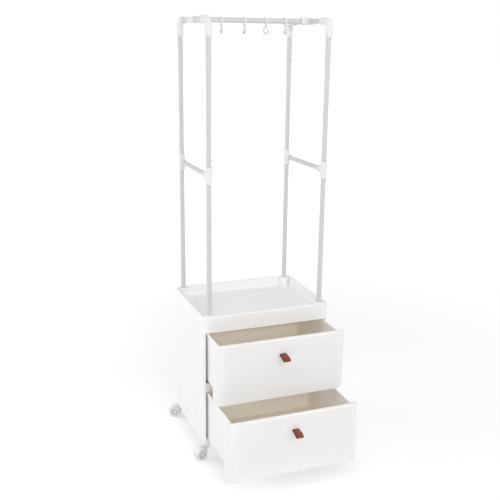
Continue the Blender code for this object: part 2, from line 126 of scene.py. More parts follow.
def watts(name, default, description):
    return FloatProperty(name=name, description=description, default=default, min=0.0, unit="POWER")


def share(name, default, description):
    return FloatProperty(
        name=name, description=description, default=default, min=0.0, max=1.0, subtype="FACTOR"
    )


def angle(name, default, description):
    return FloatProperty(
        name=name, description=description, default=math.radians(default), subtype="ANGLE", unit="ROTATION"
    )


class CabinetSizes(bpy.types.PropertyGroup):
    """Sizes of the cabinet's panels and of the tray on top."""

    corner: length("Corner radius", 0.022, "Rounding of the four upright corners")
    wall: length("Panel thickness", 0.011, "Thickness of a side panel at its stiles")
    skin: length("Skin", 0.004, "Thickness of the mouldings between their stiles")
    stile: length("Stile", 0.020, "Width of a side panel's front and rear stiles")
    foot: length("Foot rail", 0.012, "Height of a side panel's lower rail")
    head: length("Head rail", 0.010, "Height of a side panel's upper rail")
    edge: length("Edge rounding", 0.0008, "Small rounding along moulded edges")
    ledge: length("Ledge height", 0.0041, "Height of a ledge that carries a drawer")
    ledge_inset: length("Ledge inset", 0.018, "Distance of a ledge's ends from the panel's ends")
    running_gap: length("Running gap", 0.0004, "Play between a drawer and its ledges")
    ledge_play: length("Ledge play", 0.001, "Gap between a ledge and the side of a drawer's tub")
    ledge_round: length("Ledge rounding", 0.0006, "Rounding of a ledge's edges")
    shelf: length("Shelf thickness", 0.005, "Thickness of the middle shelf")
    rail: length("Shelf rail", 0.008, "Depth of the rail along the middle shelf's front")
    shelf_round: length("Shelf rounding", 0.0009, "Rounding of the middle shelf's edges")
    base_round: length("Base rounding", 0.001, "Rounding of the base's edges")
    castor_bore: length("Castor bore", 0.0053, "Radius of the holes in the base for the castors")
    rib: length("Rib", 0.003, "Thickness of the ribs under the base")
    rib_root: length("Rib root", 0.0005, "How far a rib is sunk in the skin of the base")
    rib_pitch: length("Rib pitch", 0.090, "Distance from one rib to the next")
    back_border: length("Back border", 0.022, "Width of the border round the back's sunk field")
    back_sink: length("Back sink", 0.0012, "Depth of the back's sunk field")
    back_round: length("Back rounding", 0.0005, "Rounding of the back's edges")
    rim: length("Tray rim", 0.012, "Width of the rim round the tray")
    rim_round: length("Rim rounding", 0.0048, "Rounding of the tray's rim")
    floor_round: length("Floor rounding", 0.007, "Rounding between the tray's floor and rim")
    tray_floor: length("Tray floor", 0.470, "Height of the tray's floor above the ground")
    tray_top: length("Tray top", 0.503, "Height of the tray's rim above the ground")
    boss: length("Post boss", 0.0155, "Radius of the socket that holds a post")
    boss_bore: length("Boss bore", 0.0083, "Radius of the hole that a post stands in")
    boss_play: length("Boss play", 0.0005, "Room under a post's foot")
    boss_round: length("Boss rounding", 0.0022, "Rounding of a socket's top")


class DrawerSizes(bpy.types.PropertyGroup):
    """Sizes of the drawers and their pulls."""

    front_height: length("Front height", 0.200, "Height of a drawer front")
    front_depth: length("Front depth", 0.032, "Depth of a drawer front")
    front_wall: length("Front wall", 0.012, "Thickness of a front's hollow wall")
    front_skin: length("Front skin", 0.0025, "Thickness of each skin of a front's hollow wall")
    corner: length("Front corner", 0.0295, "Rounding of a front's upright corners")
    rim_round: length("Rim rounding", 0.0042, "Rounding of a front's rim")
    foot_round: length("Foot rounding", 0.0025, "Rounding of a front's foot")
    crest: length("Crest", 0.006, "Height left above the hollow in a front's wall")
    crest_round: length("Crest rounding", 0.0012, "Rounding of the edges along a front's rim")
    hollow_width: length("Hollow width", 0.380, "Width of the hollows in a front's wall and foot")
    foot_wall: length("Foot wall", 0.006, "Thickness of the wall behind the hollow in a front's foot")
    foot_skin: length("Foot skin", 0.004, "Height left between that hollow and the tub's underside")
    pan_inset: length("Pan inset", 0.010, "Distance of the pan behind a front's rim from the front's ends")
    pan_depth: length("Pan depth", 0.020, "Depth of that pan below the tub's rim")
    pan_wall: length("Pan wall", 0.003, "Thickness of the wall behind that pan")
    pan_corner: length("Pan corner", 0.0075, "Rounding of that pan's upright corners")
    well_corner: length("Well corner", 0.012, "Rounding of the upright corners inside the tub")
    well_round: length("Well rounding", 0.006, "Rounding round the floor inside the tub")
    tub_width: length("Tub width", 0.407, "Width of the tub behind a front")
    tub_length: length("Tub length", 0.310, "Length of the tub behind a front")
    tub_wall: length("Tub wall", 0.003, "Thickness of the tub's walls")
    tub_raise: length("Tub raise", 0.028, "Height of the tub's underside above the front's foot")
    tub_rim: length("Tub rim", 0.191, "Height of the tub's rim above the front's foot")
    tub_round: length("Tub rounding", 0.004, "Rounding of the tub's lower and rear edges")
    lip: length("Tub lip", 0.0035, "How far the tub's rim stands out from its walls")
    lip_height: length("Tub lip height", 0.006, "Height of the lip round the tub's rim")
    lip_root: length("Tub lip root", 0.002, "How far that lip is sunk in the front")
    lip_round: length("Tub lip rounding", 0.0022, "Rounding of that lip")
    runner: length("Runner", 0.006, "Width and height of the runners at the tub's rear")
    runner_start: length("Runner start", 0.240, "Distance of the runners behind the front")
    runner_root: length("Runner root", 0.001, "How far a runner is sunk in the tub's wall")
    runner_round: length("Runner rounding", 0.0008, "Rounding of a runner's edges")
    dip: length("Rim dip", 0.020, "Depth over which a front's rim falls to the tub's rim")
    dip_sill: length("Dip sill", 0.0005, "Height of the dip's end above the tub's rim")
    pull_drop: length("Pull drop", 0.0535, "Distance of a pull below the front's top")
    pull_out: length("Pull length", 0.036, "Length of a pull outside the front")
    pull_in: length("Pull root", 0.0165, "Length of a pull inside the front")
    pull_droop: angle("Pull droop", 25.0, "How far a pull's end bends down")
    slot_width: length("Slot width", 0.023, "Width of the slot for a pull")
    slot_height: length("Slot height", 0.009, "Height of the slot for a pull")
    slot_round: length("Slot rounding", 0.002, "Rounding of a slot's corners")
    strap_width: length("Strap width", 0.022, "Width of a leather pull")
    strap: length("Strap thickness", 0.0029, "Thickness of the leather")
    strap_round: length("Strap rounding", 0.0006, "Rounding of the leather's edges")
    layer_gap: length("Layer gap", 0.0004, "Gap between a pull's two layers at its root")
    gape: length("Gape", 0.0038, "How much wider that gap is at the fold")
    gape_start: length("Gape start", 0.010, "Distance from the front where the layers begin to part")
    gape_run: length("Gape run", 0.014, "Length over which the layers part")
    fold: length("Fold", 0.0037, "Length of a pull that the fold at its end takes up")
    fold_reach: length("Fold reach", 0.0033, "How far the fold stands out beyond the layers")
    rivet_at: length("Rivet place", 0.008, "Distance of a pull's rivet from the front")
    rivet_play: length("Rivet play", 0.0003, "Room between a rivet's heads and the leather")
    pin: length("Pin radius", 0.0014, "Radius of the pin that holds a pull")
    pin_round: length("Pin rounding", 0.0004, "Rounding of a pin's ends")


class RackSizes(bpy.types.PropertyGroup):
    """Sizes of the tube rack, its connectors and its hooks."""

    tube: length("Tube radius", 0.008, "Outer radius of the steel tube")
    bore: length("Tube bore", 0.007, "Inner radius of the steel tube")
    tube_round: length("Tube rounding", 0.0003, "Rounding of a tube's ends")
    sleeve: length("Connector radius", 0.0104, "Outer radius of a connector's sleeve")
    play: length("Connector play", 0.0002, "Play between a tube and its connector")
    lip: length("Connector lip", 0.0111, "Outer radius of the lip at a sleeve's mouth")
    lip_width: length("Lip width", 0.004, "Width of the lip at a sleeve's mouth")
    lip_slope: length("Lip slope", 0.0012, "Width of the slope behind that lip")
    mid_half: length("Middle tee", 0.026, "Half the length of a middle tee's sleeve")
    top_half: length("Top tee", 0.025, "Half the length of a top tee's sleeve")
    stub: length("Tee stub", 0.028, "Reach of a tee's stub from its sleeve's middle")
    flare_end: length("Flare end", 0.0105, "Distance from a tee's middle where its stub narrows")
    flare_run: length("Flare run", 0.003, "Length over which the stub narrows")
    web: length("Tee web", 0.006, "Thickness of the wall between a tee's two bores")
    leg: length("Elbow leg", 0.048, "Reach of an elbow's two legs")
    bend: length("Elbow bend", 0.0125, "Radius of an elbow's bend")
    elbow_round: length("Elbow rounding", 0.0005, "Rounding of an elbow's mouths")
    ring_bore: length("Ring bore", 0.0085, "Inner radius of a ring on the rail")
    ring: length("Ring radius", 0.0107, "Outer radius of a ring on the rail")
    ring_width: length("Ring width", 0.006, "Width of a ring on the rail")
    ring_round: length("Ring rounding", 0.0005, "Rounding of a ring's edges")
    neck: length("Hook neck", 0.00125, "Radius of a hook's wire in its ring")
    wire: length("Hook wire", 0.0016, "Radius of a hook's wire below its ring")
    bowl: length("Hook bowl", 0.0075, "Radius of a hook's round bowl")
    bowl_drop: length("Bowl drop", 0.0317, "Distance of the bowl's middle below the rail's middle")
    sweep: length("Hook sweep", 0.0094, "Height of the sweep between shank and bowl")


class CastorSizes(bpy.types.PropertyGroup):
    """Sizes of the twin-wheel castors."""

    wheel: length("Wheel radius", 0.020, "Radius of a castor wheel")
    trail: length("Trail", 0.026, "Distance from the stem to the axle")
    hood: length("Hood radius", 0.0225, "Outer radius of the hood over the wheels")
    hood_half: length("Hood half width", 0.0135, "Half the width of the hood")
    web_half: length("Web half thickness", 0.004, "Half the thickness of the web between the wheels")
    hood_foot: length("Hood foot", 0.027, "Height of the hood's lower edge above the ground")
    hood_round: length("Hood rounding", 0.0022, "Rounding of the hood's edges")
    wheel_play: length("Wheel play", 0.0008, "Room between a wheel and the hood")
    web: length("Web radius", 0.0216, "Outer radius of the web between the wheels")
    web_foot: length("Web foot", 0.0125, "Height of the web's lower edge above the ground")
    arm_back: length("Arm back", 0.005, "How far the arm reaches behind the stem")
    arm_low: length("Arm low", 0.032, "Height of the arm's lower face above the ground")
    arm_high: length("Arm high", 0.0455, "Height of the arm's upper face above the ground")
    axle: length("Axle radius", 0.0028, "Radius of the axle's hole and of the stem")
    stem_foot: length("Stem foot", 0.054, "Height of the stem's lower end above the ground")
    stem_top: length("Stem top", 0.0715, "Height of the stem's upper end above the ground")
    socket_bore: length("Socket bore", 0.0032, "Radius of the hole that takes the stem")
    socket: length("Socket radius", 0.0049, "Outer radius of the socket in the base")
    flange: length("Flange radius", 0.0085, "Radius of the socket's flange under the base")
    flange_gap: length("Flange gap", 0.0003, "Gap between that flange and the base")
    socket_round: length("Socket rounding", 0.0004, "Rounding of the socket's edges")
    # The darker groove's colour is painted shade in the wheel's sunk ring
    groove_inner: length("Groove inside", 0.0061, "Inner radius of the darker groove in a wheel")
    groove_outer: length("Groove outside", 0.0121, "Outer radius of the darker groove in a wheel")


class Finishes(bpy.types.PropertyGroup):
    """Colours of the finishes."""

    panel: colour("Panel", (0.905, 0.897, 0.893), "Moulded side panels, base and back")
    drawer: colour("Drawer", (0.885, 0.875, 0.870), "Moulded drawers, outside")
    # Paler, warmer colour inside the drawers: painted warm bounce light on the same plastic as outside
    inside: colour("Drawer inside", (0.96, 0.905, 0.82), "Moulded drawers, inside")
    # The tray's own white, set a little paler than the panels' as painted bounce light
    tray: colour("Tray", (0.918, 0.915, 0.920), "Moulded tray")
    tube: colour("Tube", (0.625, 0.61, 0.625), "Enamelled steel tube")
    connector: colour("Connector", (0.825, 0.81, 0.825), "Moulded connectors and rings")
    hook: colour("Hook", (0.56, 0.54, 0.54), "Moulded hooks and the lugs that hold them")
    # Grey plastic of the hooks and ring lugs, darkened as painted shade under the rail
    leather: colour("Leather", (0.262, 0.053, 0.026), "Leather of the pulls")
    steel: colour("Steel", (0.23, 0.12, 0.085), "Rivets and pins")
    castor: colour("Castor", (0.84, 0.83, 0.83), "Castor housings")
    wheel: colour("Wheel", (0.79, 0.78, 0.77), "Castor wheels")
    # Darker colour in the wheels' sunk groove: painted shade
    groove: colour("Wheel groove", (0.60, 0.59, 0.58), "Groove between a wheel's tread and hub")


class StageSettings(bpy.types.PropertyGroup):
    """The plain studio round the rack."""

    ambient: share("Ambient", 0.56, "Strength of the even light from all round")
    left: watts("Left lamp", 27.0, "Power of the large soft lamp on the left")
    right: watts("Right lamp", 15.0, "Power of the large soft lamp on the right")
    front: watts("Front lamp", 26.5, "Power of the long soft lamp by the camera")
    top: watts("Top lamp", 7.0, "Power of the soft lamp overhead")
    aim: length("Lamp aim", 0.4, "Height above the ground that the lamps point at")
    floor: colour("Floor", (0.93, 0.93, 0.93), "Paper floor")
    lift_near: share("Lift near", 0.215, "White that the camera sees added to the floor by the rack")
    lift_far: share("Lift far", 0.60, "White that the camera sees added to the floor far off")
    lift_from: length("Lift start", 0.6, "Distance from the middle where the near lift ends")
    lift_to: length("Lift end", 4.0, "Distance from the middle where the far lift begins")
    place: FloatVectorProperty(
        name="Camera place",
        description="Where the camera stands",
        default=(-0.9008, -2.2029, 1.3607),
        precision=4,
        subtype="TRANSLATION",
        unit="LENGTH",
    )
    azimuth: angle("Camera azimuth", -21.123, "How far the camera is turned round the rack from its front")
    elevation: angle("Camera elevation", 15.590, "How far the camera looks down")
    roll: angle("Camera roll", 0.661, "How far the camera leans")
    lens: FloatProperty(
        name="Lens", description="Focal length of the camera", default=55.01, min=1.0, unit="CAMERA"
    )


class Wire:
    """A socket of a node tree; sums on it add Math nodes."""

    def __init__(self, tree, socket=None):
        self.tree = tree
        self.socket = socket

    def node(self, kind, settings=None, inputs=None, out=0):
        """Add any other node: its settings first, then the values or links of its sockets."""
        made = self.tree.nodes.new(kind)
        for key, value in (settings or {}).items():
            setattr(made, key, value)
        for key, value in (inputs or {}).items():
            if isinstance(value, Wire):
                self.tree.links.new(value.socket, made.inputs[key])
            else:
                made.inputs[key].default_value = value
        return Wire(self.tree, made.outputs[out] if len(made.outputs) else None)

    def sum(self, operation, first, second):
        return self.node("ShaderNodeMath", {"operation": operation}, {0: first, 1: second})

    def __add__(self, other):
        return self.sum("ADD", self, other)

    __radd__ = __add__

    def __sub__(self, other):
        return self.sum("SUBTRACT", self, other)

    def __rsub__(self, other):
        return self.sum("SUBTRACT", other, self)

    def __mul__(self, other):
        return self.sum("MULTIPLY", self, other)

    __rmul__ = __mul__

    def between(self, low, high):
        """Nought below low, one above high, and a soft rise between them."""
        settings = {"interpolation_type": "SMOOTHSTEP"}
        return self.node(
            "ShaderNodeMapRange", settings, {"Value": self, "From Min": low, "From Max": high}
        )

    def blend(self, first, second):
        """First colour where this value is nought, second where it is one."""
        return self.node("ShaderNodeMix", {"data_type": "RGBA"}, {0: self, 6: first, 7: second}, 2)


def shade(rgb, factor=1.0):
    return (*(min(1.0, channel * factor) for channel in rgb), 1.0)


def noise(wire, here, scale, detail=2.0):
    inputs = {"Vector": here, "Scale": scale, "Detail": detail}
    return wire.node("ShaderNodeTexNoise", None, inputs)


def bumped(wire, height, distance, strength):
    inputs = {"Height": height, "Distance": distance, "Strength": strength}
    return wire.node("ShaderNodeBump", None, inputs)


def make_finish(name, recipe, *values):
    """A new material whose Principled shader gets what a recipe returns."""
    material = bpy.data.materials.new(name + "_finish")
    material.use_nodes = True
    material.node_tree.nodes.clear()
    wire = Wire(material.node_tree)
    here = wire.node("ShaderNodeTexCoord", out="Object")
    shader = wire.node("ShaderNodeBsdfPrincipled", None, recipe(wire, here, *values))
    wire.node("ShaderNodeOutputMaterial", None, {"Surface": shader})
    return material


def moulded(wire, here, rgb, second=None, glow=0.0):
    """Moulded plastic: fine spark grain, a faint cloud of tone, uneven gloss and some light let through.

    A second colour goes where the mesh's "second" attribute is one; it is painted warm bounce light inside
    the drawers and painted shade on the ring lugs and in the wheel grooves.
    """
    cloud = noise(wire, here, scale=7.0, detail=3.0).between(0.30, 0.70)
    tone = cloud.blend(shade(rgb, 0.985), shade(rgb, 1.008))
    # The second colour is painted bounce light on the drawers and painted shade on the lugs and grooves
    if second is not None:
        mask = wire.node("ShaderNodeAttribute", {"attribute_name": "second"}, None, "Fac")
        tone = mask.blend(tone, cloud.blend(shade(second, 0.985), shade(second, 1.008)))
    grain = noise(wire, here, scale=1500.0)
    return {
        "Base Color": tone,
        "Roughness": 0.40 + 0.12 * noise(wire, here, scale=55.0),
        "Normal": bumped(wire, grain, distance=0.00004, strength=0.30),
        "IOR": 1.49,
        "Subsurface Weight": glow,
        "Subsurface Radius": (1.0, 1.0, 1.0),
        "Subsurface Scale": 0.004,
    }


def enamelled(wire, here, rgb):
    """Baked enamel on tube: a low orange peel under a thin clear gloss."""
    cloud = noise(wire, here, scale=16.0, detail=3.0).between(0.30, 0.70)
    peel = noise(wire, here, scale=900.0)
    return {
        "Base Color": cloud.blend(shade(rgb, 0.985), shade(rgb, 1.01)),
        "Roughness": 0.34 + 0.08 * noise(wire, here, scale=90.0),
        "Normal": bumped(wire, peel, distance=0.00001, strength=0.08),
        "Coat Weight": 0.25,
        "Coat Roughness": 0.15,
    }


def tanned(wire, here, rgb, half_width):
    """Tanned leather: pebbled grain, uneven dye and burnished dark edges."""
    place = wire.node("ShaderNodeSeparateXYZ", None, {"Vector": here}, "X")
    across = wire.node("ShaderNodeMath", {"operation": "ABSOLUTE"}, {0: place})
    edge = across.between(half_width * 0.80, half_width * 0.98)
    pebble = wire.node(
        "ShaderNodeTexVoronoi", {"feature": "SMOOTH_F1"}, {"Vector": here, "Scale": 1150.0}
    )
    dye = noise(wire, here, scale=160.0, detail=4.0).between(0.30, 0.72)
    tone = dye.blend(shade(rgb, 0.80), shade(rgb, 1.16))
    creased = (pebble.between(0.25, 0.75) * 0.35).blend(tone, shade(rgb, 0.50))
    return {
        "Base Color": (edge * 0.60).blend(creased, shade(rgb, 0.30)),
        "Roughness": 0.48 + 0.16 * pebble,
        "Normal": bumped(wire, 1.0 - pebble, distance=0.00022, strength=0.55),
        "Specular IOR Level": 0.35,
    }


def metal(wire, here, rgb):
    """Plated steel with a brushed sheen."""
    streaks = noise(wire, here, scale=2400.0)
    return {
        "Base Color": noise(wire, here, scale=500.0).blend(shade(rgb, 0.85), shade(rgb, 1.1)),
        "Roughness": 0.28 + 0.18 * streaks,
        "Metallic": 1.0,
    }


def cuboid(low, high):
    """A new box between two corners."""
    low = Vector(low)
    high = Vector(high)
    bm = bmesh.new()
    scale = Matrix.Diagonal((*(high - low), 1.0))
    bmesh.ops.create_cube(bm, size=1.0, matrix=Matrix.Translation((low + high) / 2) @ scale)
    return bm


def soften(bm, edges, radius, segments=3):
    """Round a set of edges."""
    bmesh.ops.bevel(
        bm,
        geom=edges,
        offset=radius,
        offset_type="OFFSET",
        segments=segments,
        profile=0.5,
        affect="EDGES",
        material=-1,
        clamp_overlap=True,
    )


def middle(edge):
    return (edge.verts[0].co + edge.verts[1].co) / 2


def everywhere(place):
    return True


def along(bm, axis, test=everywhere):
    """Edges that run along an axis, where the test of their middle says so."""
    found = []
    for edge in bm.edges:
        run = edge.verts[0].co - edge.verts[1].co
        run[axis] = 0.0
        if run.length < MERGE and test(middle(edge)):
            found.append(edge)
    return found


def crisp(bm, test=everywhere, least=SHARP):
    """Edges between faces that meet at more than an angle, where the test of their middle says so."""
    found = []
    for edge in bm.edges:
        if len(edge.link_faces) == 2 and edge.calc_face_angle() > least and test(middle(edge)):
            found.append(edge)
    return found


def facing(bm, direction):
    """The largest face that looks along a direction."""
    direction = Vector(direction)
    found = [face for face in bm.faces if face.normal.dot(direction) > 0.999]
    return max(found, key=lambda face: face.calc_area())


def outward(bm):
    """Turn all faces outwards."""
    bmesh.ops.recalc_face_normals(bm, faces=bm.faces)


def push(bm, face, step):
    """Extrude one face by a step."""
    made = bmesh.ops.extrude_face_region(bm, geom=[face])["geom"]
    verts = [item for item in made if isinstance(item, bmesh.types.BMVert)]
    bmesh.ops.delete(bm, geom=[face], context="FACES_ONLY")
    bmesh.ops.translate(bm, vec=step, verts=verts)


def inset_to(bm, face, low, high):
    """Inset a face and fit its inner outline to a box."""
    bmesh.ops.inset_region(bm, faces=[face], thickness=0.002, use_even_offset=True)
    places = [vert.co for vert in face.verts]
    for axis in (X, Y, Z):
        least = min(place[axis] for place in places)
        most = max(place[axis] for place in places)
        if most - least > MERGE:
            for place in places:
                part = (place[axis] - least) / (most - least)
                place[axis] = low[axis] + part * (high[axis] - low[axis])


def sliced(bm, place, away):
    """Cut off what lies beyond a plane and close the cut."""
    geom = [*bm.verts, *bm.edges, *bm.faces]
    bmesh.ops.bisect_plane(bm, geom=geom, plane_co=place, plane_no=away, clear_outer=True)
    bmesh.ops.holes_fill(bm, edges=[edge for edge in bm.edges if edge.is_boundary])
    outward(bm)
    return bm


def turned(profile, steps=40, ring=False):
    """Spin (radius, height) points about Z; a ring profile closes on itself."""
    bm = bmesh.new()
    verts = [bm.verts.new((radius, 0.0, height)) for radius, height in profile]
    edges = [bm.edges.new(pair) for pair in zip(verts, verts[1:])]
    if ring:
        edges.append(bm.edges.new((verts[-1], verts[0])))
    bmesh.ops.spin(
        bm,
        geom=verts + edges,
        cent=(0, 0, 0),
        axis=(0, 0, 1),
        angle=math.tau,
        steps=steps,
        use_merge=True,
        use_duplicate=False,
    )
    bmesh.ops.remove_doubles(bm, verts=bm.verts, dist=MERGE)
    outward(bm)
    return bm


def tubular(inner, outer, half, steps):
    """A round tube about Z, as far below the origin as above it."""
    return turned(((inner, -half), (outer, -half), (outer, half), (inner, half)), steps, True)


def rod(start, end, radius, steps=32):
    """A solid round bar between two points."""
    start = Vector(start)
    run = Vector(end) - start
    bm = turned(((0, 0), (radius, 0), (radius, run.length), (0, run.length)), steps)
    turn = run.to_track_quat("Z", "Y").to_matrix().to_4x4()
    return placed(bm, Matrix.Translation(start) @ turn)


def standing(place, low, high, radius, steps):
    """A solid round bar that stands over a place, from one height to another."""
    return rod((place.x, place.y, low), (place.x, place.y, high), radius, steps)


def swept(bm, ring, stations):
    """Carry a ring of edges through a row of places; returns its last edges."""
    edges = list(ring)
    verts = list({vert for edge in edges for vert in edge.verts})
    bmesh.ops.transform(bm, matrix=stations[0], verts=verts)
    for before, after in zip(stations, stations[1:]):
        made = bmesh.ops.extrude_edge_only(bm, edges=edges)["geom"]
        verts = [item for item in made if isinstance(item, bmesh.types.BMVert)]
        new = set(verts)
        edges = [
            item
            for item in made
            if isinstance(item, bmesh.types.BMEdge) and set(item.verts) <= new
        ]
        bmesh.ops.transform(bm, matrix=after @ before.inverted(), verts=verts)
    return edges


def stations_along(points, widths):
    """Places along a path in the XZ plane, square to it, each with its own scale."""
    found = []
    last = len(points) - 1
    for index, (x, z) in enumerate(points):
        ahead = Vector(points[min(index + 1, last)])
        behind = Vector(points[max(index - 1, 0)])
        run = (ahead - behind).normalized()
        forward = Vector((run.x, 0.0, run.y))
        side = Vector((0.0, 1.0, 0.0))
        over = forward.cross(side)
        turn = Matrix((side, over, forward)).transposed().to_4x4()
        found.append(Matrix.Translation((x, 0.0, z)) @ turn @ Matrix.Scale(widths[index], 4))
    return found


def circle(bm, sides):
    made = bmesh.ops.create_circle(bm, cap_ends=False, segments=sides, radius=1.0)["verts"]
    return list({edge for vert in made for edge in vert.link_edges})


def piped(points, widths, sides):
    """A round bar along a path, closed at both ends."""
    bm = bmesh.new()
    start = circle(bm, sides)
    end = swept(bm, start, stations_along(points, widths))
    bmesh.ops.edgeloop_fill(bm, edges=start)
    bmesh.ops.edgeloop_fill(bm, edges=end)
    outward(bm)
    return bm


def hollow_pipe(points, widths, bore, sides):
    """A round sleeve along a path: its outside, then back along its bore to where it began."""
    bm = bmesh.new()
    outside = stations_along(points, widths)
    bored = stations_along(points, [bore] * len(points))
    swept(bm, circle(bm, sides), outside + bored[::-1] + outside[:1])
    bmesh.ops.remove_doubles(bm, verts=bm.verts, dist=MERGE)
    outward(bm)
    return bm


def placed(bm, place):
    bmesh.ops.transform(bm, matrix=place, verts=bm.verts)
    return bm


def scratch(bm, name):
    """A passing object for a Boolean."""
    mesh = bpy.data.meshes.new(name)
    bm.to_mesh(mesh)
    bm.free()
    obj = bpy.data.objects.new(name, mesh)
    bpy.context.scene.collection.objects.link(obj)
    return obj


def combined(bm, tool, operation):
    """Join a shape to another or cut it away, and give back the result."""
    blank = scratch(bm, "blank")
    cutter = scratch(tool, "cutter")
    modifier = blank.modifiers.new("Boolean", "BOOLEAN")
    modifier.operation = operation
    modifier.solver = "EXACT"
    modifier.object = cutter
    bpy.context.view_layer.update()
    depsgraph = bpy.context.evaluated_depsgraph_get()
    mesh = bpy.data.meshes.new_from_object(blank.evaluated_get(depsgraph))
    result = bmesh.new()
    result.from_mesh(mesh)
    for obj in (blank, cutter):
        old = obj.data
        bpy.data.objects.remove(obj, do_unlink=True)
        bpy.data.meshes.remove(old)
    bpy.data.meshes.remove(mesh)
    bmesh.ops.remove_doubles(result, verts=result.verts, dist=MERGE)
    return result


def mark_second(bm, test):
    """Mark the vertices that take a finish's second colour, by a test of their places."""
    layer = bm.verts.layers.float.new("second")
    for vert in bm.verts:
        vert[layer] = float(test(vert.co))


def show(bm, node, finish):
    """Make the piece that stands for a CAD node and rides on that node's body."""
    name = node + "_shown"
    outward(bm)
    mesh = bpy.data.meshes.new(name)
    bm.to_mesh(mesh)
    bm.free()
    mesh.materials.append(finish)
    mesh.shade_smooth()
    mesh.set_sharp_from_angle(angle=SHARP)
    piece = bpy.data.objects.new(name, mesh)
    bpy.context.scene.collection.objects.link(piece)
    evened = piece.modifiers.new("Even shading", "WEIGHTED_NORMAL")
    evened.keep_sharp = True
    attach(piece, frame["nodes"][node]["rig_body"])
    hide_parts(node)


def panel_shape(side, sizes, drawers):
    """A side panel: a slice of the rounded cabinet, hollowed behind its stiles, with two ledges."""
    low = Vector((-HALF_WIDTH, CABINET_Y - HALF_DEPTH, PANEL_LOW.z))
    high = Vector((HALF_WIDTH, CABINET_Y + HALF_DEPTH, PANEL_HIGH.z))
    bm = cuboid(low, high)
    soften(bm, along(bm, Z), sizes.corner, CORNER_STEPS)
    inner = side * (HALF_WIDTH - sizes.wall)
    sliced(bm, (inner, 0, 0), (-side, 0, 0))
    face = facing(bm, (-side, 0, 0))
    inset_to(
        bm,
        face,
        (inner, low.y + sizes.stile, low.z + sizes.foot),
        (inner, high.y - sizes.stile, high.z - sizes.head),
    )
    push(bm, face, (side * (sizes.wall - sizes.skin), 0, 0))
    outward(bm)
    soften(bm, crisp(bm), sizes.edge)
    left, right = sorted(
        (side * (HALF_WIDTH - sizes.skin / 2), side * (drawers.tub_width / 2 + sizes.ledge_play))
    )
    for name in DRAWERS:
        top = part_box(name + "_drawer")[0].z + drawers.tub_raise - sizes.running_gap
        ledge = cuboid(
            (left, low.y + sizes.ledge_inset, top - sizes.ledge),
            (right, high.y - sizes.ledge_inset, top),
        )
        soften(ledge, crisp(ledge), sizes.ledge_round, segments=2)
        bm = combined(bm, ledge, "UNION")
    return bm


def base_shape(sizes):
    """The base: a shallow pan upside down, bored for the castors, with three ribs inside."""
    low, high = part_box("base_panel")
    reach = Vector((0.186, 0.132, 0))
    foot = Vector((0, CABINET_Y, low.z))
    bm = cuboid(low, high)
    under = facing(bm, (0, 0, -1))
    inset_to(bm, under, foot - reach, foot + reach)
    push(bm, under, (0, 0, high.z - low.z - sizes.skin))
    outward(bm)
    soften(bm, crisp(bm), sizes.base_round)
    for side, end in CORNERS:
        mount = centre(f"{side}_{end}_castor_socket")
        bore = standing(mount, low.z - PAST, high.z + PAST, sizes.castor_bore, steps=24)
        bm = combined(bm, bore, "DIFFERENCE")
    half = sizes.rib / 2
    rib_reach = reach.y + half
    for x in (-sizes.rib_pitch, 0.0, sizes.rib_pitch):
        rib = cuboid(
            (x - half, CABINET_Y - rib_reach, low.z + half),
            (x + half, CABINET_Y + rib_reach, high.z - sizes.skin + sizes.rib_root),
        )
        bm = combined(bm, rib, "UNION")
    return bm


def back_shape(sizes):
    """The back: a thin panel with a sunk field."""
    low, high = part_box("back_panel")
    border = Vector((sizes.back_border, 0, sizes.back_border))
    bm = cuboid(low, high)
    face = facing(bm, (0, 1, 0))
    inset_to(bm, face, low + border, high - border)
    push(bm, face, (0, -sizes.back_sink, 0))
    outward(bm)
    soften(bm, crisp(bm), sizes.back_round, segments=2)
    return bm


def shelf_shape(sizes):
    """The middle shelf with the rail that stands along its front."""
    low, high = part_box("middle_shelf")
    bm = cuboid(low, (high.x, high.y, low.z + sizes.shelf))
    geom = [*bm.verts, *bm.edges, *bm.faces]
    bmesh.ops.bisect_plane(bm, geom=geom, plane_co=(0, low.y + sizes.rail, 0), plane_no=(0, 1, 0))
    upper = [face for face in bm.faces if face.normal.z > 0.99]
    strip = min(upper, key=lambda face: face.calc_area())
    push(bm, strip, (0, 0, high.z - low.z - sizes.shelf))
    outward(bm)
    soften(bm, crisp(bm), sizes.shelf_round)
    return bm


class RACK_OT_cabinet(bpy.types.Operator):
    """Make the side panels, base, back and middle shelf"""

    bl_idname = "rack.cabinet"
    bl_label = "Cabinet panels"

    def execute(self, context):
        sizes = context.scene.rack_cabinet
        drawers = context.scene.rack_drawers
        finish = make_finish("panel_white", moulded, context.scene.rack_finishes.panel)
        for name, side in SIDES.items():
            show(panel_shape(side, sizes, drawers), name + "_side_panel", finish)
        show(base_shape(sizes), "base_panel", finish)
        show(back_shape(sizes), "back_panel", finish)
        show(shelf_shape(sizes), "middle_shelf", finish)
        return {"FINISHED"}


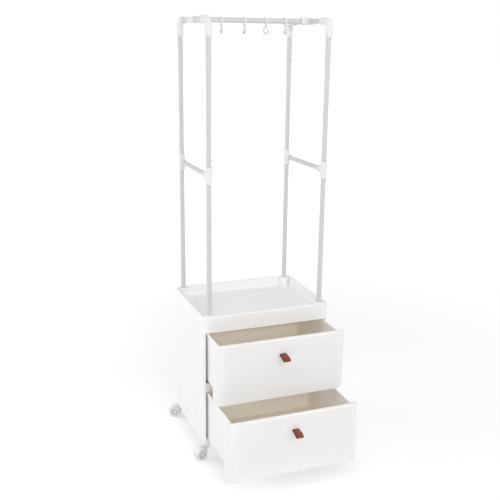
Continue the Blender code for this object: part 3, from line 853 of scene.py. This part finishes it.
def tray_shape(sizes):
    """The tray: rolled rim, soft floor edge, hollow underside and four bored post bosses."""
    top = sizes.tray_top
    floor = sizes.tray_floor
    bm = cuboid(TRAY_LOW, (TRAY_HIGH.x, TRAY_HIGH.y, top))
    soften(bm, along(bm, Z), sizes.corner, CORNER_STEPS)
    face = facing(bm, (0, 0, 1))
    bmesh.ops.inset_region(bm, faces=[face], thickness=sizes.rim, use_even_offset=True)
    push(bm, face, (0, 0, floor - top))
    under = facing(bm, (0, 0, -1))
    reach = Vector((0.176, 0.154, 0))
    foot = Vector((0, CABINET_Y, TRAY_LOW.z))
    inset_to(bm, under, foot - reach, foot + reach)
    push(bm, under, (0, 0, floor - sizes.skin - TRAY_LOW.z))
    outward(bm)
    soften(bm, crisp(bm, lambda place: place.z > top - NEAR), sizes.rim_round, segments=5)
    soften(bm, crisp(bm, lambda place: abs(place.z - floor) < NEAR), sizes.floor_round, segments=5)
    soften(bm, crisp(bm, lambda place: place.z < floor - sizes.skin / 2), sizes.edge)
    for side, end in CORNERS:
        low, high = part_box(f"{side}_{end}_lower_post")
        post = (low + high) / 2
        boss = standing(post, floor - sizes.skin / 2, TRAY_HIGH.z, sizes.boss, steps=40)
        soften(boss, crisp(boss, lambda place: place.z > floor), sizes.boss_round, segments=4)
        bm = combined(bm, boss, "UNION")
        bore = standing(post, low.z - sizes.boss_play, top + PAST, sizes.boss_bore, steps=40)
        bm = combined(bm, bore, "DIFFERENCE")
    return bm


class RACK_OT_tray(bpy.types.Operator):
    """Make the tray with its rolled rim and the four post sockets"""

    bl_idname = "rack.tray"
    bl_label = "Top tray"

    def execute(self, context):
        # The tray's colour is partly painted bounce light
        finish = make_finish("tray_white", moulded, context.scene.rack_finishes.tray)
        show(tray_shape(context.scene.rack_cabinet), "top_tray", finish)
        return {"FINISHED"}


def drawer_hollows(sizes, half):
    """What is cut out of a drawer: well, pan behind the front's rim, dip, hollow wall and pull slot."""
    height = sizes.front_height
    depth = sizes.front_depth
    rim = sizes.tub_rim
    top = height + PAST
    floor = sizes.tub_raise + sizes.tub_wall
    front = -depth + sizes.front_wall
    inner = sizes.tub_width / 2 - sizes.tub_wall
    well = cuboid((-inner, front, floor), (inner, sizes.tub_length - sizes.tub_wall, top))
    soften(well, along(well, Z), sizes.well_corner, segments=8)
    soften(well, crisp(well, lambda place: place.z < floor + NEAR), sizes.well_round, segments=5)
    pan_half = half - sizes.pan_inset
    pan = cuboid((-pan_half, front, rim - sizes.pan_depth), (pan_half, -sizes.pan_wall, top))
    soften(pan, along(pan, Z), sizes.pan_corner, segments=6)
    fall = math.atan2(height - rim - sizes.dip_sill, sizes.dip)
    dip = cuboid((-half - PAST, 0, 0), (half + PAST, sizes.dip / math.cos(fall), 2 * PAST))
    placed(dip, Matrix.Translation((0, -sizes.dip, height)) @ Matrix.Rotation(-fall, 4, "X"))
    hollow_half = sizes.hollow_width / 2
    low = (-hollow_half, -depth + sizes.front_skin, -PAST)
    under = cuboid(low, (hollow_half, -sizes.foot_wall, sizes.tub_raise - sizes.foot_skin))
    double = cuboid(low, (hollow_half, front - sizes.front_skin, height - sizes.crest))
    slot_z = height - sizes.pull_drop
    slot_half = Vector((sizes.slot_width / 2, 0, sizes.slot_height / 2))
    slot = cuboid(
        Vector((0, -depth - PAST, slot_z)) - slot_half, Vector((0, front + PAST, slot_z)) + slot_half
    )
    soften(slot, along(slot, Y), sizes.slot_round, segments=4)
    return well, pan, dip, under, double, slot


def drawer_shape(sizes, half):
    """A drawer about the foot of its front's back: overlay front, tub with lip and runners, and hollows."""
    height = sizes.front_height
    depth = sizes.front_depth
    tub = sizes.tub_width / 2
    foot = sizes.tub_raise
    rim = sizes.tub_rim
    end = sizes.tub_length
    bm = cuboid((-half, -depth, 0), (half, 0, height))
    soften(bm, along(bm, Z, lambda place: place.y < -depth / 2), sizes.corner, segments=18)
    upper = crisp(bm, lambda place: place.y < -NEAR and place.z > height / 2)
    soften(bm, upper, sizes.rim_round, segments=5)
    lower = crisp(bm, lambda place: place.y < -NEAR and place.z < height / 2)
    soften(bm, lower, sizes.foot_round)
    face = facing(bm, (0, 1, 0))
    inset_to(bm, face, (-tub, 0, foot), (tub, 0, rim))
    push(bm, face, (0, end, 0))
    outward(bm)
    bottom = crisp(bm, lambda place: place.y > NEAR and place.z < foot + NEAR)
    rear = along(bm, Z, lambda place: place.y > end - NEAR)
    soften(bm, bottom + rear, sizes.tub_round, segments=4)
    lip = cuboid(
        (-tub - sizes.lip, -sizes.lip_root, rim - sizes.lip_height),
        (tub + sizes.lip, end + sizes.lip, rim),
    )
    soften(lip, crisp(lip), sizes.lip_round, segments=4)
    bm = combined(bm, lip, "UNION")
    for side in SIDES.values():
        left, right = sorted((side * (tub - sizes.runner_root), side * (tub + sizes.runner)))
        runner = cuboid(
            (left, sizes.runner_start, foot), (right, end - sizes.runner, foot + sizes.runner)
        )
        soften(runner, crisp(runner), sizes.runner_round, segments=2)
        bm = combined(bm, runner, "UNION")
    for hollow in drawer_hollows(sizes, half):
        bm = combined(bm, hollow, "DIFFERENCE")
    rims = crisp(bm, lambda place: place.z > height - NEAR, least=math.radians(60.0))
    soften(bm, rims, sizes.crest_round)
    # Mark the tub's inside for the second colour: painted warm bounce light
    margin = 1e-4
    below_rim = 0.001
    low = Vector((-tub + sizes.tub_wall, -depth + sizes.front_wall, foot + sizes.tub_wall))
    high = Vector((tub - sizes.tub_wall, end - margin, rim - below_rim - margin))

    def inside(place):
        return all(low[axis] - margin < place[axis] < high[axis] + margin for axis in (X, Y, Z))

    mark_second(bm, inside)
    return bm


class RACK_OT_drawers(bpy.types.Operator):
    """Make both drawers, each moulded in one with its front"""

    bl_idname = "rack.drawers"
    bl_label = "Drawers"

    def execute(self, context):
        sizes = context.scene.rack_drawers
        colours = context.scene.rack_finishes
        # The second colour paints warm bounce light inside the tubs
        finish = make_finish("drawer_white", moulded, colours.drawer, colours.inside, 0.8)
        for name in DRAWERS:
            node = name + "_drawer"
            low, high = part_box(node)
            place = Matrix.Translation((0, low.y + sizes.front_depth, low.z))
            show(placed(drawer_shape(sizes, high.x), place), node, finish)
        return {"FINISHED"}


def strap_place(sizes, s, offset):
    """Depth and height of a point on the pull, s along its middle line and offset above it."""
    if s <= 0.0:
        return (-s, offset)
    radius = sizes.pull_out / sizes.pull_droop
    turn = s / radius
    return (-(radius + offset) * math.sin(turn), (radius + offset) * math.cos(turn) - radius)


def strap_shape(sizes):
    """A strap folded on itself: out over the top, round the fold and back underneath."""
    thick = sizes.strap
    last = sizes.pull_out - sizes.fold

    def spread(s):
        opened = max(0.0, min(1.0, (s - sizes.gape_start) / sizes.gape_run))
        gap = sizes.layer_gap + sizes.gape * opened * opened * (3 - 2 * opened)
        return (thick + gap) / 2

    steps = 22
    turns = 12
    run = [-sizes.pull_in + (last + sizes.pull_in) * step / steps for step in range(steps + 1)]
    points = [strap_place(sizes, s, spread(s)) for s in run]
    for step in range(1, turns):
        turn = math.pi * step / turns
        s = last + sizes.fold_reach * math.sin(turn)
        points.append(strap_place(sizes, s, spread(last) * math.cos(turn)))
    points += [strap_place(sizes, s, -spread(s)) for s in reversed(run)]
    bm = bmesh.new()
    section = bmesh.ops.create_grid(bm, x_segments=6, y_segments=1, size=0.5)["verts"]
    bmesh.ops.scale(bm, vec=(sizes.strap_width, thick, 1.0), verts=section)
    inner = [edge for edge in bm.edges if not edge.is_boundary]
    bmesh.ops.delete(bm, geom=list(bm.faces), context="FACES_ONLY")
    bmesh.ops.delete(bm, geom=inner, context="EDGES")
    start = list(bm.edges)
    finish = swept(bm, start, stations_along(points, [1.0] * len(points)))
    bmesh.ops.edgeloop_fill(bm, edges=start)
    bmesh.ops.edgeloop_fill(bm, edges=finish)
    outward(bm)
    soften(bm, crisp(bm), sizes.strap_round)
    return placed(bm, Matrix.Rotation(QUARTER, 4, "Z"))


def rivet_shape(sizes):
    """A rivet through both layers of a strap, with a domed head on each side."""
    seat = sizes.strap + sizes.rivet_play
    dome = ((0, 0.0013), (0.0021, 0.0011), (0.0034, 0.0004), (0.0034, -0.0002), (0.0013, -0.0002))
    upper = [(radius, seat + height) for radius, height in dome]
    lower = [(radius, -height) for radius, height in reversed(upper)]
    turn = Matrix.Rotation(sizes.rivet_at / sizes.pull_out * sizes.pull_droop, 4, "X")
    place = Matrix.Translation((0, *strap_place(sizes, sizes.rivet_at, 0.0)))
    return placed(turned(upper + lower, steps=24), place @ turn)


def pin_shape(node, sizes):
    """The pin that lies across a pull behind its slot."""
    low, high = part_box(node)
    place = (low + high) / 2
    bm = rod((low.x, place.y, place.z), (high.x, place.y, place.z), sizes.pin, steps=20)
    soften(bm, crisp(bm), sizes.pin_round, segments=2)
    return bm


class RACK_OT_pulls(bpy.types.Operator):
    """Make the leather loop pulls with their rivets and pins"""

    bl_idname = "rack.pulls"
    bl_label = "Leather pulls"

    def execute(self, context):
        sizes = context.scene.rack_drawers
        colours = context.scene.rack_finishes
        leather = make_finish("leather_tan", tanned, colours.leather, sizes.strap_width / 2)
        steel = make_finish("steel", metal, colours.steel)
        for name in DRAWERS:
            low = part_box(name + "_drawer")[0]
            root = Matrix.Translation((0, low.y, low.z + sizes.front_height - sizes.pull_drop))
            show(placed(strap_shape(sizes), root), name + "_pull", leather)
            show(placed(rivet_shape(sizes), root), name + "_pull_rivet", steel)
            show(pin_shape(name + "_pull_pin", sizes), name + "_pull_pin", steel)
        return {"FINISHED"}


def tube_shape(node, sizes):
    """A steel tube as long as its node, along the node's longest way."""
    low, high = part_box(node)
    size = high - low
    axis = max((X, Y, Z), key=lambda index: size[index])
    tube = tubular(sizes.bore, sizes.tube, size[axis] / 2, steps=32)
    soften(tube, crisp(tube), sizes.tube_round, segments=2)
    turn = Matrix.Identity(4)
    if axis != Z:
        turn = Matrix.Rotation(QUARTER, 4, "Y" if axis == X else "X")
    return placed(tube, Matrix.Translation((low + high) / 2) @ turn)


class RACK_OT_tubes(bpy.types.Operator):
    """Make the posts, side bars and hanging rail"""

    bl_idname = "rack.tubes"
    bl_label = "Enamelled tubes"

    def execute(self, context):
        sizes = context.scene.rack_tubes
        finish = make_finish("tube_enamel", enamelled, context.scene.rack_finishes.tube)
        nodes = ["hanging_rail", "left_mid_side_bar", "right_mid_side_bar"]
        for side, end in CORNERS:
            nodes += [f"{side}_{end}_lower_post", f"{side}_{end}_upper_post", f"{side}_top_{end}_bar"]
        for node in nodes:
            show(tube_shape(node, sizes), node, finish)
        return {"FINISHED"}


def tee_shape(half, sizes):
    """A sleeve with a stub along +X that flares where it leaves the sleeve, and a lip at each mouth."""
    steps = 36
    stub = sizes.stub
    lip = sizes.lip
    slope = sizes.lip_width + sizes.lip_slope
    flare = sizes.sleeve + 0.0001
    narrow = sizes.sleeve - 0.0003
    inside = sizes.sleeve - 0.0004
    bore = sizes.tube + sizes.play
    profile = (
        (bore, sizes.flare_end - 0.001),
        (flare, 0.0),
        (flare, sizes.flare_end),
        (narrow, sizes.flare_end + sizes.flare_run),
        (narrow, stub - slope),
        (lip, stub - sizes.lip_width),
        (lip, stub),
        (bore, stub),
    )
    branch = placed(turned(profile, steps, ring=True), Matrix.Rotation(QUARTER, 4, "Y"))
    joined = combined(standing(Vector(), -half, half, sizes.sleeve, steps), branch, "UNION")
    mouth = ((inside, half - slope), (lip, half - sizes.lip_width), (lip, half), (inside, half))
    for sign in (-1, 1):
        low, high = sorted((sign * sizes.web / 2, sign * (half + PAST)))
        joined = combined(joined, standing(Vector(), low, high, bore, steps), "DIFFERENCE")
        ring = turned([(radius, sign * height) for radius, height in mouth], steps, ring=True)
        joined = combined(joined, ring, "UNION")
    return joined


def elbow_shape(sizes):
    """A bent sleeve, down and along +X, with a lip at each mouth."""
    leg = sizes.leg
    bend = sizes.bend
    slope = sizes.lip_width + sizes.lip_slope
    midway = 0.02
    reaches = (leg, leg - sizes.lip_width, leg - slope, leg - midway)
    mouth = [sizes.lip, sizes.lip, sizes.sleeve, sizes.sleeve]
    steps = 10
    points = [(0.0, -reach) for reach in reaches]
    for step in range(steps + 1):
        turn = QUARTER * step / steps
        points.append((bend * (1.0 - math.cos(turn)), bend * (math.sin(turn) - 1.0)))
    points += [(reach, 0.0) for reach in reversed(reaches)]
    widths = mouth + [sizes.sleeve] * (steps + 1) + mouth[::-1]
    bm = hollow_pipe(points, widths, sizes.tube + sizes.play, sides=32)
    soften(bm, crisp(bm), sizes.elbow_round, segments=2)
    return bm


class RACK_OT_connectors(bpy.types.Operator):
    """Make the moulded tees and elbows that join the tubes"""

    bl_idname = "rack.connectors"
    bl_label = "Connectors"

    def execute(self, context):
        sizes = context.scene.rack_tubes
        finish = make_finish("connector_white", moulded, context.scene.rack_finishes.connector)
        for side, end in CORNERS:
            post = centre(f"{side}_{end}_lower_post")
            inward = Matrix.Rotation(-ENDS[end] * QUARTER, 4, "Z")
            place = Matrix.Translation((post.x, post.y, MID_Z)) @ inward
            tee = placed(tee_shape(sizes.mid_half, sizes), place)
            show(tee, f"{side}_{end}_mid_connector", finish)
            place = Matrix.Translation((post.x, post.y, RAIL.z)) @ inward
            show(placed(elbow_shape(sizes), place), f"{side}_{end}_top_elbow", finish)
        for side, sign in SIDES.items():
            post = centre(f"{side}_front_lower_post")
            turn = Matrix.Rotation(QUARTER, 4, "X")
            if sign > 0:
                turn = Matrix.Rotation(math.pi, 4, "Z") @ turn
            place = Matrix.Translation((post.x, RAIL.y, RAIL.z)) @ turn
            tee = placed(tee_shape(sizes.top_half, sizes), place)
            show(tee, side + "_top_tee", finish)
        return {"FINISHED"}


def ring_shape(sizes):
    """A band round the rail with a lug under it that holds the hook's bead."""
    band = tubular(sizes.ring_bore, sizes.ring, sizes.ring_width / 2, steps=40)
    soften(band, crisp(band), sizes.ring_round, segments=2)
    placed(band, Matrix.Rotation(QUARTER, 4, "Y"))
    lug = ((0, -0.0093), (0.0036, -0.0093), (0.0036, -0.0162), (0.0029, -0.0175), (0, -0.0175))
    pocket = (
        (0, -0.0112),
        (0.0027, -0.0112),
        (0.0027, -0.0158),
        (0.0017, -0.0166),
        (0.0017, -0.0185),
        (0, -0.0185),
    )
    ring = combined(band, turned(lug, steps=24), "UNION")
    ring = combined(ring, turned(pocket, steps=24), "DIFFERENCE")
    # The lug takes the darker hook colour: painted shade under the rail
    mark_second(ring, lambda place: place.z < -sizes.ring)
    return ring


def hook_shape(sizes):
    """A wire hook: bead, shank, a sweep to one side, a round bowl and a short tip."""
    wire = sizes.wire
    bowl = sizes.bowl
    foot = -0.0196
    bead = ((-0.0117, 0.0006), (-0.0121, 0.0015), (-0.0127, 0.0021), (-0.0139, 0.0021), (-0.0145, 0.0015))
    shank = ((-0.0151, sizes.neck), (-0.0185, sizes.neck), (foot, wire))
    tip = (
        (0.0078, -0.0290, 1.0),
        (0.0081, -0.0278, 1.05),
        (0.0084, -0.0268, 0.9),
        (0.0085, -0.0265, 0.45),
    )
    points = [(0.0, height) for height, radius in bead + shank]
    widths = [radius for height, radius in bead + shank]
    steps = 10
    for step in range(1, steps + 1):
        part = step / steps
        points.append((-bowl / 2 * (1.0 - math.cos(math.pi * part)), foot - sizes.sweep * part))
    steps = 20
    for step in range(steps + 1):
        turn = math.pi + math.pi * step / steps
        points.append((bowl * math.cos(turn), bowl * math.sin(turn) - sizes.bowl_drop))
    widths += [wire] * (len(points) - len(widths))
    points += [(x, z) for x, z, factor in tip]
    widths += [wire * factor for x, z, factor in tip]
    return piped(points, widths, sides=16)


class RACK_OT_hooks(bpy.types.Operator):
    """Make the four rings on the rail and the hooks under them"""

    bl_idname = "rack.hooks"
    bl_label = "Rings and hooks"

    def execute(self, context):
        sizes = context.scene.rack_tubes
        colours = context.scene.rack_finishes
        # Lugs and hooks take the darker hook colour: grey plastic with painted shade under the rail
        band = make_finish("ring_white", moulded, colours.connector, colours.hook)
        wire = make_finish("hook_white", moulded, colours.hook)
        for number in HOOKS:
            ring = f"hook_ring_{number}"
            hook = f"j_hook_{number}"
            place = Matrix.Translation((centre(ring).x, RAIL.y, RAIL.z))
            show(placed(ring_shape(sizes), place), ring, band)
            low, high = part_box(hook)
            if high.y - low.y > high.x - low.x:
                place = place @ Matrix.Rotation(QUARTER, 4, "Z")
            show(placed(hook_shape(sizes), place), hook, wire)
        return {"FINISHED"}


def housing_shape(sizes):
    """Castor body about its stem: hood over the wheels, web and arm between them, neck and stem."""
    place = (sizes.trail, sizes.wheel)
    down = (0, 0, -1)
    half = sizes.hood_half
    web_half = sizes.web_half
    past = 0.02
    body = rod((-half, *place), (half, *place), sizes.hood, steps=64)
    soften(body, crisp(body), sizes.hood_round, segments=4)
    sliced(body, (0, 0, sizes.hood_foot), down)
    for low, high in ((web_half, past), (-past, -web_half)):
        room = rod((low, *place), (high, *place), sizes.wheel + sizes.wheel_play, steps=64)
        body = combined(body, room, "DIFFERENCE")
    web = rod((-web_half, *place), (web_half, *place), sizes.web, steps=64)
    sliced(web, (0, 0, sizes.web_foot), down)
    arm = cuboid((-web_half, -sizes.arm_back, sizes.arm_low), (web_half, sizes.trail, sizes.arm_high))
    neck = ((0, 0.034), (0.0074, 0.034), (0.008, 0.036), (0.008, 0.0535), (0.0062, 0.056), (0, 0.056))
    stem = standing(Vector(), sizes.stem_foot, sizes.stem_top, sizes.axle, steps=20)
    for joined in (web, arm, turned(neck, steps=32), stem):
        body = combined(body, joined, "UNION")
    return combined(body, rod((-past, *place), (past, *place), sizes.axle, steps=24), "DIFFERENCE")


def wheelset_shape(sizes):
    """Two wheels on one axle, each with a rounded tread, a groove and a raised hub."""
    face = (
        (0.0, 0.0128),
        (0.0046, 0.0128),
        (0.0058, 0.0123),
        (0.0064, 0.0106),
        (0.0118, 0.0106),
        (0.0126, 0.0123),
        (0.0138, 0.0133),
        (0.0176, 0.0133),
        (0.0192, 0.0126),
        (sizes.wheel, 0.0110),
        (sizes.wheel, 0.0060),
        (0.0192, 0.0047),
        (0.0178, 0.0043),
        (0.0025, 0.0043),
    )
    wheels = turned([*face, *((radius, -width) for radius, width in reversed(face))], steps=56)
    # The sunk groove takes the darker second colour: painted shade
    mark_second(wheels, lambda place: sizes.groove_inner < place.xy.length < sizes.groove_outer)
    return placed(wheels, Matrix.Rotation(QUARTER, 4, "Y"))


def socket_shape(node, sizes):
    """The flanged sleeve in the base that takes a castor's stem."""
    low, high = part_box(node)
    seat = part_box("base_panel")[0].z - sizes.flange_gap
    profile = (
        (sizes.socket_bore, low.z),
        (sizes.flange, low.z),
        (sizes.flange, seat),
        (sizes.socket, seat),
        (sizes.socket, high.z),
        (sizes.socket_bore, high.z),
    )
    bm = turned(profile, steps=32, ring=True)
    soften(bm, crisp(bm), sizes.socket_round, segments=2)
    return placed(bm, Matrix.Translation(((low.x + high.x) / 2, (low.y + high.y) / 2, 0)))


class RACK_OT_castors(bpy.types.Operator):
    """Make the castor sockets, housings and twin wheels"""

    bl_idname = "rack.castors"
    bl_label = "Castors"

    def execute(self, context):
        sizes = context.scene.rack_castors
        colours = context.scene.rack_finishes
        shell = make_finish("castor_white", moulded, colours.castor)
        # The wheels' second colour is painted shade in their sunk grooves
        tread = make_finish("wheel_grey", moulded, colours.wheel, colours.groove)
        for side, end in CORNERS:
            name = f"{side}_{end}_castor"
            show(socket_shape(name + "_socket", sizes), name + "_socket", shell)
            mount = centre(name + "_socket")
            ahead = centre(name + "_wheels") - mount
            turn = Matrix.Rotation(math.atan2(-ahead.x, ahead.y), 4, "Z")
            place = Matrix.Translation((mount.x, mount.y, 0)) @ turn
            show(placed(housing_shape(sizes), place), name + "_housing", shell)
            place = place @ Matrix.Translation((0, sizes.trail, sizes.wheel))
            show(placed(wheelset_shape(sizes), place), name + "_wheels", tread)
        return {"FINISHED"}


def seen_directly(wire):
    """One where the camera, a reflection or a transmitted ray looks, and nought for light itself."""
    outs = ("Is Camera Ray", "Is Glossy Ray", "Is Transmission Ray")
    camera, glossy, through = [wire.node("ShaderNodeLightPath", out=out) for out in outs]
    return camera + glossy + through


# Where each lamp hangs, and how wide and high it is
LAMPS = {
    "left": ((-2.6, 1.2, 1.1), (2.2, 1.8)),
    "right": ((1.2, -2.2, 1.9), (2.2, 2.2)),
    "front": ((-0.75, -3.0, 1.75), (1.6, 0.3)),
    "top": ((-0.3, -0.3, 3.2), (1.6, 1.6)),
}


class RACK_OT_stage(bpy.types.Operator):
    """Set the plain floor, the soft studio light and the camera"""

    bl_idname = "rack.stage"
    bl_label = "Studio"

    def execute(self, context):
        scene = context.scene
        settings = scene.rack_stage
        scene.view_settings.view_transform = "Standard"
        scene.cycles.diffuse_bounces = 16
        scene.cycles.max_bounces = 24
        self.lay_floor(scene, settings)
        self.light_world(scene, settings)
        for name, (place, size) in LAMPS.items():
            self.hang_lamp(scene, settings, name, place, size)
        self.set_camera(scene, settings)
        return {"FINISHED"}

    def lay_floor(self, scene, settings):
        bm = bmesh.new()
        bmesh.ops.create_grid(bm, x_segments=8, y_segments=8, size=30.0)
        mesh = bpy.data.meshes.new("studio_floor")
        bm.to_mesh(mesh)
        bm.free()
        floor = bpy.data.objects.new("studio_floor", mesh)
        scene.collection.objects.link(floor)
        material = bpy.data.materials.new("studio_floor")
        material.use_nodes = True
        material.node_tree.nodes.clear()
        wire = Wire(material.node_tree)
        paper = wire.node("ShaderNodeBsdfDiffuse", None, {"Color": shade(settings.floor)})
        here = wire.node("ShaderNodeTexCoord", out="Object")
        away = wire.node("ShaderNodeVectorMath", {"operation": "LENGTH"}, {0: here}, "Value")
        near = shade([settings.lift_near] * 3)
        far = shade([settings.lift_far] * 3)
        white = away.between(settings.lift_from, settings.lift_to).blend(near, far)
        lift = wire.node("ShaderNodeEmission", None, {"Color": white, "Strength": seen_directly(wire)})
        both = wire.node("ShaderNodeAddShader", None, {0: paper, 1: lift})
        wire.node("ShaderNodeOutputMaterial", None, {"Surface": both})
        mesh.materials.append(material)

    def light_world(self, scene, settings):
        world = bpy.data.worlds.new("studio")
        world.use_nodes = True
        world.node_tree.nodes.clear()
        wire = Wire(world.node_tree)
        strength = settings.ambient + (1.0 - settings.ambient) * seen_directly(wire)
        inputs = {"Color": (1.0, 1.0, 1.0, 1.0), "Strength": strength}
        back = wire.node("ShaderNodeBackground", None, inputs)
        wire.node("ShaderNodeOutputWorld", None, {"Surface": back})
        scene.world = world

    def hang_lamp(self, scene, settings, name, place, size):
        data = bpy.data.lights.new(name + "_lamp", "AREA")
        data.shape = "RECTANGLE"
        data.size, data.size_y = size
        data.energy = getattr(settings, name)
        lamp = bpy.data.objects.new(name + "_lamp", data)
        lamp.location = place
        aim = Vector((0, 0, settings.aim)) - lamp.location
        lamp.rotation_euler = aim.to_track_quat("-Z", "Y").to_euler()
        lamp.visible_camera = False
        scene.collection.objects.link(lamp)

    def set_camera(self, scene, settings):
        data = bpy.data.cameras.new("camera")
        data.lens = settings.lens
        data.sensor_width = 36.0
        camera = bpy.data.objects.new("camera", data)
        turn = (
            Matrix.Rotation(settings.azimuth, 4, "Z")
            @ Matrix.Rotation(QUARTER - settings.elevation, 4, "X")
            @ Matrix.Rotation(settings.roll, 4, "Z")
        )
        camera.matrix_world = Matrix.Translation(settings.place) @ turn
        scene.collection.objects.link(camera)
        scene.camera = camera


BUILDERS = (
    RACK_OT_cabinet,
    RACK_OT_tray,
    RACK_OT_drawers,
    RACK_OT_pulls,
    RACK_OT_tubes,
    RACK_OT_connectors,
    RACK_OT_hooks,
    RACK_OT_castors,
    RACK_OT_stage,
)

SETTINGS = {
    "rack_cabinet": CabinetSizes,
    "rack_drawers": DrawerSizes,
    "rack_tubes": RackSizes,
    "rack_castors": CastorSizes,
    "rack_finishes": Finishes,
    "rack_stage": StageSettings,
}


class RACK_PT_sidebar(bpy.types.Panel):
    """Sizes, colours and builders of the clothing rack"""

    bl_idname = "RACK_PT_sidebar"
    bl_label = "Clothing Rack"
    bl_space_type = "VIEW_3D"
    bl_region_type = "UI"
    bl_category = "Clothing Rack"

    def draw(self, context):
        for builder in BUILDERS:
            self.layout.operator(builder.bl_idname)
        for name, group in SETTINGS.items():
            box = self.layout.box()
            box.label(text=group.__doc__)
            for key in group.__annotations__:
                box.prop(getattr(context.scene, name), key)


def register():
    for group in SETTINGS.values():
        bpy.utils.register_class(group)
    for cls in (*BUILDERS, RACK_PT_sidebar):
        bpy.utils.register_class(cls)
    for name, group in SETTINGS.items():
        setattr(bpy.types.Scene, name, PointerProperty(type=group))


def unregister():
    for name in SETTINGS:
        delattr(bpy.types.Scene, name)
    for cls in (RACK_PT_sidebar, *reversed(BUILDERS), *SETTINGS.values()):
        bpy.utils.unregister_class(cls)


def main():
    register()
    bpy.ops.rack.cabinet()
    bpy.ops.rack.tray()
    bpy.ops.rack.drawers()
    bpy.ops.rack.pulls()
    bpy.ops.rack.tubes()
    bpy.ops.rack.connectors()
    bpy.ops.rack.hooks()
    bpy.ops.rack.castors()
    bpy.ops.rack.stage()


if __name__ == "__main__":
    main()
